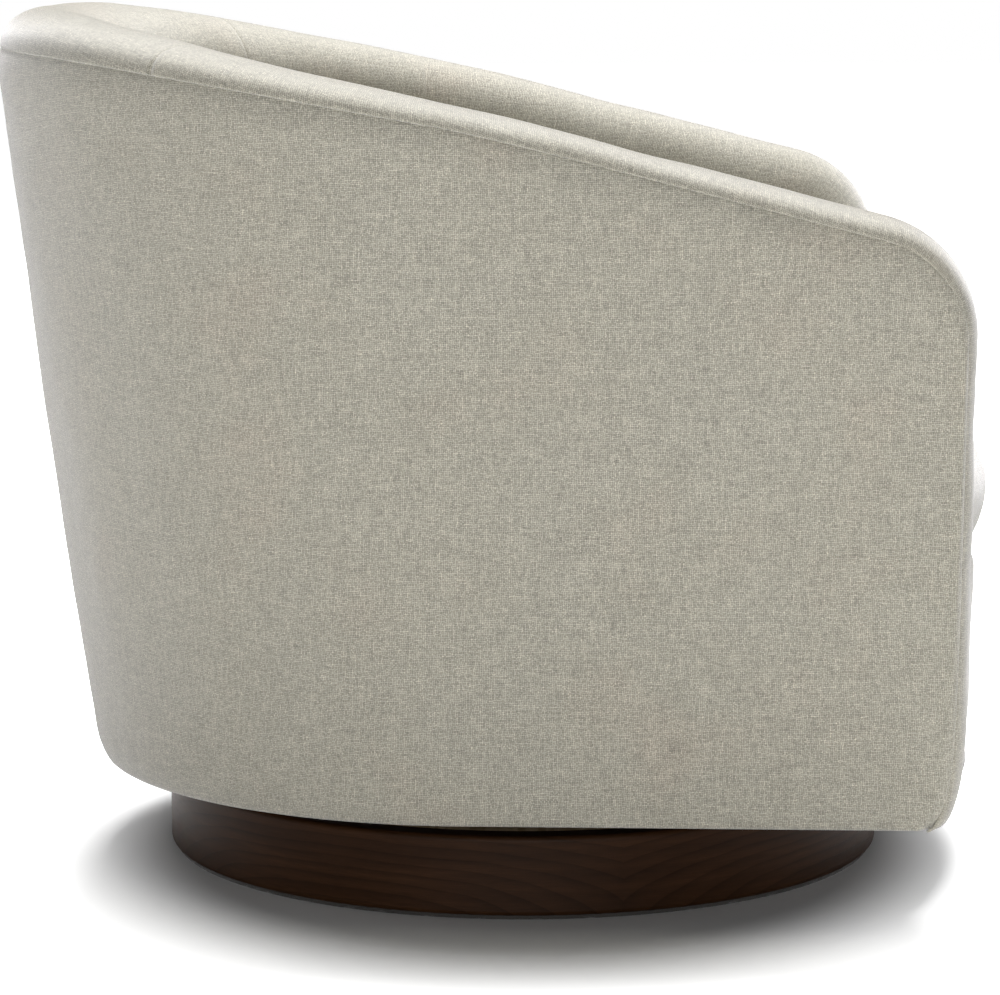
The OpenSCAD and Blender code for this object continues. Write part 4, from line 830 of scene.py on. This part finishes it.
def cushion_outline(count):
    """Closed plan of the cushion at its widest line, from the middle of the rear, evenly spaced."""
    a = np.linspace(math.pi / 2, SPL, 160)
    rear_in = thick(a, NOSE_Z) + 4 + 10 * np.sin(a) ** 2
    rear = place(a, np.full(160, np.nan), np.full(160, NOSE_Z), rear_in)[:, :2]
    y = np.linspace(rear[-1, 1], CORNER_C[1], 80)[1:]
    side = np.stack([arm_x(y, NOSE_Z) - (thick(SPL, NOSE_Z) + 4) / math.cos(SPL), y], -1)
    bow = math.asin(CORNER_C[0] / (FRONT_R - CORNER_IN_R))
    c = np.linspace(SPL, bow - math.pi / 2, 60)[1:]
    corner = np.stack([CORNER_C[0] + CORNER_IN_R * np.cos(c), CORNER_C[1] + CORNER_IN_R * np.sin(c)], -1)
    b = np.linspace(bow, 0, 80)[1:]
    front = np.stack([FRONT_R * np.sin(b), BOW_C - FRONT_R * np.cos(b)], -1)
    half = np.concatenate([rear, side, corner, front])
    loop = np.concatenate([half, (half * [-1, 1])[::-1][1:-1]])
    closed = np.concatenate([loop, loop[:1]])
    s = np.concatenate([[0], np.cumsum(np.linalg.norm(np.diff(closed, axis=0), axis=1))])
    at = np.linspace(0, s[-1], count + 1)[:-1]
    return np.stack([np.interp(at, s, closed[:, k]) for k in range(2)], -1), s[-1] / count


def cushion_profile(depth, base, nose, crown):
    full, flat = 1 - depth / CUSHION_HALF_W, 0.86 - depth / CUSHION_HALF_W
    t = np.radians(np.linspace(0, 90, nose))
    s1, h1 = flat + (full - flat) * np.sin(t), base + (NOSE_H - base) * (1 - np.cos(t))
    c = np.cos(np.radians(np.linspace(0, 90, crown)[1:-1])) ** 0.9
    h2 = NOSE_H + (CUSHION_H - depth - NOSE_H) * (1 - c ** 2.1) ** (1 / 2.1)
    return np.concatenate([s1, full * c]), np.concatenate([h1, h2])


def cushion_rings(outline, share, height):
    x = share[:, None] * outline[None, :, 0]
    y = CUSHION_MID_Y + share[:, None] * (outline[None, :, 1] - CUSHION_MID_Y)
    return np.stack([x, y, CUSHION_Z + height[:, None] + 0 * x], -1)


def simulate(outline, share, height):
    """How far air pressure moves each point of a coarse cushion, from Blender's cloth."""
    rings = cushion_rings(outline, share * 0.99, height * 0.985)
    ob = solid("cushion_sim", rings[:, ::-1])
    group = ob.vertex_groups.new(name="pin")
    n = rings.shape[1]
    group.add(list(range(n)) + [rings.shape[0] * n], 1.0, "REPLACE")
    group.add(list(range(n, 3 * n)), 0.35, "REPLACE")
    mod = ob.modifiers.new("Cloth", "CLOTH")
    c = mod.settings
    c.quality, c.mass = 6, 0.3
    c.tension_stiffness = c.compression_stiffness = 22
    c.shear_stiffness, c.bending_stiffness = 12, 1.5
    c.use_pressure, c.uniform_pressure_force = True, 4.0
    c.vertex_group_mass, c.pin_stiffness = "pin", 1.0
    c.effector_weights.gravity = 0
    mod.collision_settings.use_collision = False
    scene.frame_start, scene.frame_end = 1, SIM_FRAMES
    mod.point_cache.frame_start, mod.point_cache.frame_end = 1, SIM_FRAMES
    start = np.array([v.co for v in ob.data.vertices]) * 1000
    for f in range(1, SIM_FRAMES + 1):
        scene.frame_set(f)
    dg = bpy.context.evaluated_depsgraph_get()
    ev = ob.evaluated_get(dg)
    end = np.array([v.co for v in ev.data.vertices]) * 1000
    scene.frame_set(1)
    bpy.data.objects.remove(ob)
    move = (end - start)[: rings.shape[0] * n].reshape(rings.shape)[:, ::-1]
    return np.nan_to_num(move)


def cushion():
    around = AROUND
    outline, pitch = cushion_outline(around)
    share, height = cushion_profile(0, 0, 22, 52)
    P = cushion_rings(outline, share, height)
    rows = len(share)
    nose = 21
    front = smooth((-(outline[:, 1]) - 255) / 70)[None, :]
    coarse, _ = cushion_outline(SIM_AROUND)
    cs, ch = cushion_profile(0, 0, 8, 22)
    move = simulate(coarse, cs, ch)
    # carry the movement of the coarse rings over to the fine ones
    src_v = np.linspace(0, 1, len(cs))
    dst_v = np.concatenate([np.linspace(0, 7, 22), np.linspace(7, len(cs) - 1, rows - 21)[1:]]) / (len(cs) - 1)
    tmp = np.stack([[np.interp(dst_v, src_v, move[:, i, k]) for i in range(SIM_AROUND)]
                    for k in range(3)], -1)
    tmp = tmp.transpose(1, 0, 2)
    cyc = np.concatenate([tmp, tmp[:, :1]], 1)
    at = np.linspace(0, SIM_AROUND, around + 1)[:-1]
    push = np.stack([[np.interp(at, np.arange(SIM_AROUND + 1), cyc[r, :, k]) for r in range(rows)]
                     for k in range(3)], -1)
    n = np.cross(np.roll(P, -1, 1) - np.roll(P, 1, 1), np.gradient(P, axis=0))
    n /= np.maximum(np.linalg.norm(n, axis=-1, keepdims=True), 1e-9)
    if n[rows - 3, 0, 2] < 0:
        n = -n
    amount = (push * n).sum(-1)
    up = np.clip(n[..., 2], 0, 1)
    cap = 1.2 + 6.5 * up * (1 - 0.6 * front) - 0.9 * front * (1 - up)
    least = 0.2 + 2.0 * up * (1 - 0.6 * front)
    amount = np.clip(amount, least, cap)
    for _ in range(SMOOTHING):
        ring = (np.roll(amount, 1, 1) + 2 * amount + np.roll(amount, -1, 1)) / 4
        wide = np.concatenate([ring[:1], ring, ring[-1:]])
        amount = (wide[:-2] + 2 * wide[1:-1] + wide[2:]) / 4
    # the underside stays flat, and the sides and rear carry a sewn line under the crown's edge
    level = np.arange(rows)[:, None]
    amount = amount * smooth((level - 1) / 9)
    side = 1 - front
    d = (level - nose) * 3.4
    groove = -2.0 * np.exp(-(d / 2.6) ** 2) * side
    s = np.arange(around)[None, :] * pitch
    pucker = 0.45 * wobble(s, d * 0.2, 17, 41) * np.exp(-np.abs(d) / 16) * side
    soft = wobble(P[..., 0], P[..., 1], 120, 42) * 1.1 + wobble(P[..., 0], P[..., 1] + P[..., 2], 45, 43) * 0.3
    amount = amount + (groove + pucker + soft * smooth((level - 8) / 10) * (0.35 + 0.65 * up)) * smooth((level - 2) / 6)
    P = P + n * amount[..., None]
    seg = np.linalg.norm(np.diff(P, axis=0), axis=2)
    top = np.array([0, CUSHION_MID_Y, P[-1, :, 2].mean() + 0.4])
    L = np.cumsum(np.concatenate([np.linalg.norm(P[-1] - top, axis=1)[None], seg[::-1]]), 0)[::-1]
    flat = P[..., :2] - [0, CUSHION_MID_Y]
    unit = flat / np.linalg.norm(flat, axis=-1, keepdims=True)
    UV = unit * L[..., None]
    UV2 = np.stack([s + 0 * P[..., 2], P[..., 2] - 250], -1)
    use2 = (level <= nose) & (side > 0.5)
    # rows go from the crown down, columns round the plan
    G = P[::-1].transpose(1, 0, 2)
    g = lambda x: x[::-1].swapaxes(0, 1)
    ob = skin("cushion_top", G, COVER_T, g(UV), g(UV2), g(use2 + np.zeros((rows, around), bool)),
              outward=1 if np.cross(G[1, 5] - G[0, 5], G[0, 6] - G[0, 5])[2] > 0 else -1, closed=True)
    # close the crown
    me = ob.data
    bm = bmesh.new()
    bm.from_mesh(me)
    bm.verts.ensure_lookup_table()
    uvl = bm.loops.layers.uv.active
    total = around * rows
    for base, z, flip in ((0, top[2], False), (total, top[2] - COVER_T, True)):
        tip = bm.verts.new((0, CUSHION_MID_Y / 1000, z / 1000))
        bm.verts.ensure_lookup_table()
        for k in range(around):
            p, q = bm.verts[base + k * rows], bm.verts[base + ((k + 1) % around) * rows]
            f = bm.faces.new((q, p, tip) if flip else (p, q, tip))
            f.smooth = True
            for lp in f.loops:
                lp[uvl].uv = (lp.vert.co.x, lp.vert.co.y - CUSHION_MID_Y / 1000)
        bm.verts.ensure_lookup_table()
    rim = [f for f in bm.faces if len(f.verts) == 4 and all(v.index % rows == 0 for v in f.verts)]
    bmesh.ops.delete(bm, geom=rim, context="FACES_ONLY")
    bmesh.ops.recalc_face_normals(bm, faces=bm.faces)
    bm.to_mesh(me)
    bm.free()
    return ob


put(cushion(), "cushion", "linen", mats["linen"], "cushion_cover", form=0.85)
out, _ = cushion_outline(200)
cs, ch = cushion_profile(COVER_T + 0.3, 1.3, 12, 26)
core = cushion_rings(out, cs, ch)
core_h = ch[:, None]
core[..., 2] += 0.25 * wobble(core[..., 0], core[..., 1], 30, 44) * smooth((core_h - 20) / 20) - 0.3 * (core_h > 20)
put(solid("cushion_foam", core), "cushion", "foam", mats["foam"], "cushion_core", form=0.9)
base = put(refined("cushion_under", "cushion_base_cloth", 0.014, 0.00008, 45), "cushion", "black_cloth",
           mats["black_cloth"], "cushion_base_cloth")


# ---------------------------------------------------------------- zip
def arc_points(r, turn, z):
    return np.stack([r * np.sin(turn), ZIP_Y + r * np.cos(turn), z + 0 * turn], -1)


def zip_pieces():
    half = 105 / ZIP_R
    turn = np.linspace(-half, half, 106)
    zs = np.array([-13, -12.4, -9, -6, -3, -0.6, 0.6, 3, 6, 9, 12.4, 13]) + NOSE_Z
    P = np.stack([arc_points(ZIP_R + 1.7 - 0.12 * (k in (0, 11)), turn, z) for k, z in enumerate(zs)], 1)
    UV = np.stack([turn[:, None] * ZIP_R + 0 * zs[None], zs[None] + 0 * turn[:, None]], -1)
    n = grid_normals(P)
    tape = skin("zip_band", P, 1.4, UV, outward=1 if n[50, 5, 1] > 0 else -1)
    put(tape, "cushion", "zip_tape", mats["zip_tape"], "cushion_zip_tape")
    verts, faces = [], []
    count, long = 133, 200
    tooth = ((-0.5, 0), (0.5, 0), (0.42, 0.8), (0, 1.15), (-0.42, 0.8))
    m = len(tooth)
    for side in (-1, 1):
        for i in range(count):
            t = ((i + 0.25 * side + 0.5) / count - 0.5) * long / ZIP_R
            k = len(verts)
            for w in (-0.6 * side, 2.9 * side):
                for du, dr in tooth:
                    a = t + du / ZIP_R
                    r = ZIP_R + 0.3 + 1.4 + 0.1 + dr
                    verts.append((r * math.sin(a), ZIP_Y + r * math.cos(a), NOSE_Z + w))
            for j in range(m):
                f = [k + j, k + (j + 1) % m, k + m + (j + 1) % m, k + m + j]
                faces.append(f if side > 0 else f[::-1])
            faces.append([k + j for j in range(m)][::-side])
            faces.append([k + m + j for j in range(m)][::side])
    teeth = new_object("zip_coil", verts, faces)
    put(teeth, "cushion", "zip_teeth", mats["zip_teeth"], "cushion_zip_teeth")


zip_pieces()


# ---------------------------------------------------------------- floor, light and camera
def studio():
    me = bpy.data.meshes.new("studio_floor")
    me.from_pydata([(-12, -12, 0), (12, -12, 0), (12, 12, 0), (-12, 12, 0)], [], [(0, 1, 2, 3)])
    floor = bpy.data.objects.new("studio_floor", me)
    scene.collection.objects.link(floor)
    t = Tree("studio_floor")
    light = t.t.nodes.new("ShaderNodeLightPath")
    seen = t.m("MAXIMUM", t.m("MAXIMUM", light.outputs["Is Camera Ray"], light.outputs["Is Glossy Ray"]),
               light.outputs["Is Transmission Ray"])
    speck = t.noise(coords(t), 3, 2)
    t.surface(Base_Color=t.ramp(speck, [(0.0, (0.86, 0.86, 0.86)), (1.0, (0.90, 0.90, 0.90))]), Roughness=0.9,
              Specular_IOR_Level=0.0)
    glow = t.t.nodes.new("ShaderNodeEmission")
    oval = t.add("ShaderNodeVectorMath", {0: coords(t), 1: (1 / SHADOW_X, 1 / SHADOW_Y, 1)}, operation="MULTIPLY")
    far_off = t.add("ShaderNodeVectorMath", {0: oval}, out=1, operation="LENGTH")
    fade = t.add("ShaderNodeMapRange", {0: far_off, 1: 0.70, 2: 1.10, 3: 0.0, 4: GLOW}, interpolation_type="SMOOTHSTEP")
    t.set(glow.inputs[1], t.m("MULTIPLY", seen, fade))
    total = t.t.nodes.new("ShaderNodeAddShader")
    out = t.t.nodes["Material Output"]
    t.t.links.new(t.bsdf.outputs[0], total.inputs[0])
    t.t.links.new(glow.outputs[0], total.inputs[1])
    t.t.links.new(total.outputs[0], out.inputs[0])
    me.materials.append(t.mat)

    world = bpy.data.worlds.new("studio")
    scene.world = world
    world.use_nodes = True
    w = world.node_tree
    bg = w.nodes["Background"]
    bg.inputs[0].default_value = (1, 1, 1, 1)
    path = w.nodes.new("ShaderNodeLightPath")
    m1, m2, m3 = (w.nodes.new("ShaderNodeMath") for _ in range(3))
    m1.operation = m2.operation = "MAXIMUM"
    w.links.new(path.outputs["Is Camera Ray"], m1.inputs[0])
    w.links.new(path.outputs["Is Glossy Ray"], m1.inputs[1])
    w.links.new(m1.outputs[0], m2.inputs[0])
    w.links.new(path.outputs["Is Transmission Ray"], m2.inputs[1])
    # brighter overhead than at the horizon
    co = w.nodes.new("ShaderNodeTexCoord")
    sep = w.nodes.new("ShaderNodeSeparateXYZ")
    w.links.new(co.outputs["Generated"], sep.inputs[0])
    m3.operation = "MULTIPLY_ADD"
    m3.use_clamp = False
    w.links.new(sep.outputs[2], m3.inputs[0])
    m3.inputs[1].default_value, m3.inputs[2].default_value = SKY_TOP, SKY_LOW
    pick = w.nodes.new("ShaderNodeMix")
    w.links.new(m2.outputs[0], pick.inputs[0])
    w.links.new(m3.outputs[0], pick.inputs[2])
    pick.inputs[3].default_value = 1.0
    w.links.new(pick.outputs[0], bg.inputs[1])

    def area(name, place_at, aim, size, power):
        d = bpy.data.lights.new(name, "AREA")
        d.shape, d.size, d.size_y, d.energy = "RECTANGLE", size[0], size[1], power
        o = bpy.data.objects.new(name, d)
        o.location = place_at
        o.rotation_euler = (Vector(aim) - Vector(place_at)).to_track_quat("-Z", "Y").to_euler()
        scene.collection.objects.link(o)
    for name, place_at, aim, size, power in LAMPS:
        area(name, place_at, aim, size, power)


SHADOW_X, SHADOW_Y = 0.51, 0.40
GLOW = 1.0
SKY_LOW, SKY_TOP = 0.03, 0.03
LAMPS = [
    ("top_light", (1.6, -0.3, 4.0), (0, 0, 0.3), (2.4, 3.0), 385),
    ("fill_light", (-5, 0.3, 0.45), (0, 0, 0.45), (5, 0.9), 122),
    ("rear_side_light", (1.4, 3.0, 0.9), (0, 0.1, 0.4), (1.6, 1.2), 9),
    ("front_side_light", (1.6, -3.0, 0.9), (0, -0.1, 0.4), (1.6, 1.2), 9),
    ("far_light", (5, 0.0, 0.9), (0, 0, 0.4), (5, 1.6), 50),
]
studio()

AZ, TILT = 0.02746, 0.15564
ahead = Vector((math.cos(AZ) * math.cos(TILT), -math.sin(AZ) * math.cos(TILT), -math.sin(TILT)))
right = Vector((-math.sin(AZ), -math.cos(AZ), 0))
above = right.cross(ahead)
lens = bpy.data.cameras.new("view")
lens.sensor_fit, lens.sensor_width, lens.lens = "HORIZONTAL", 36.0, 152.05
eye = bpy.data.objects.new("view", lens)
eye.matrix_world = Matrix.Translation((-3.449, 0.114, 0.825)) @ Matrix((right, above, -ahead)).transposed().to_4x4()
scene.collection.objects.link(eye)
scene.camera = eye
scene.view_settings.view_transform = "Standard"
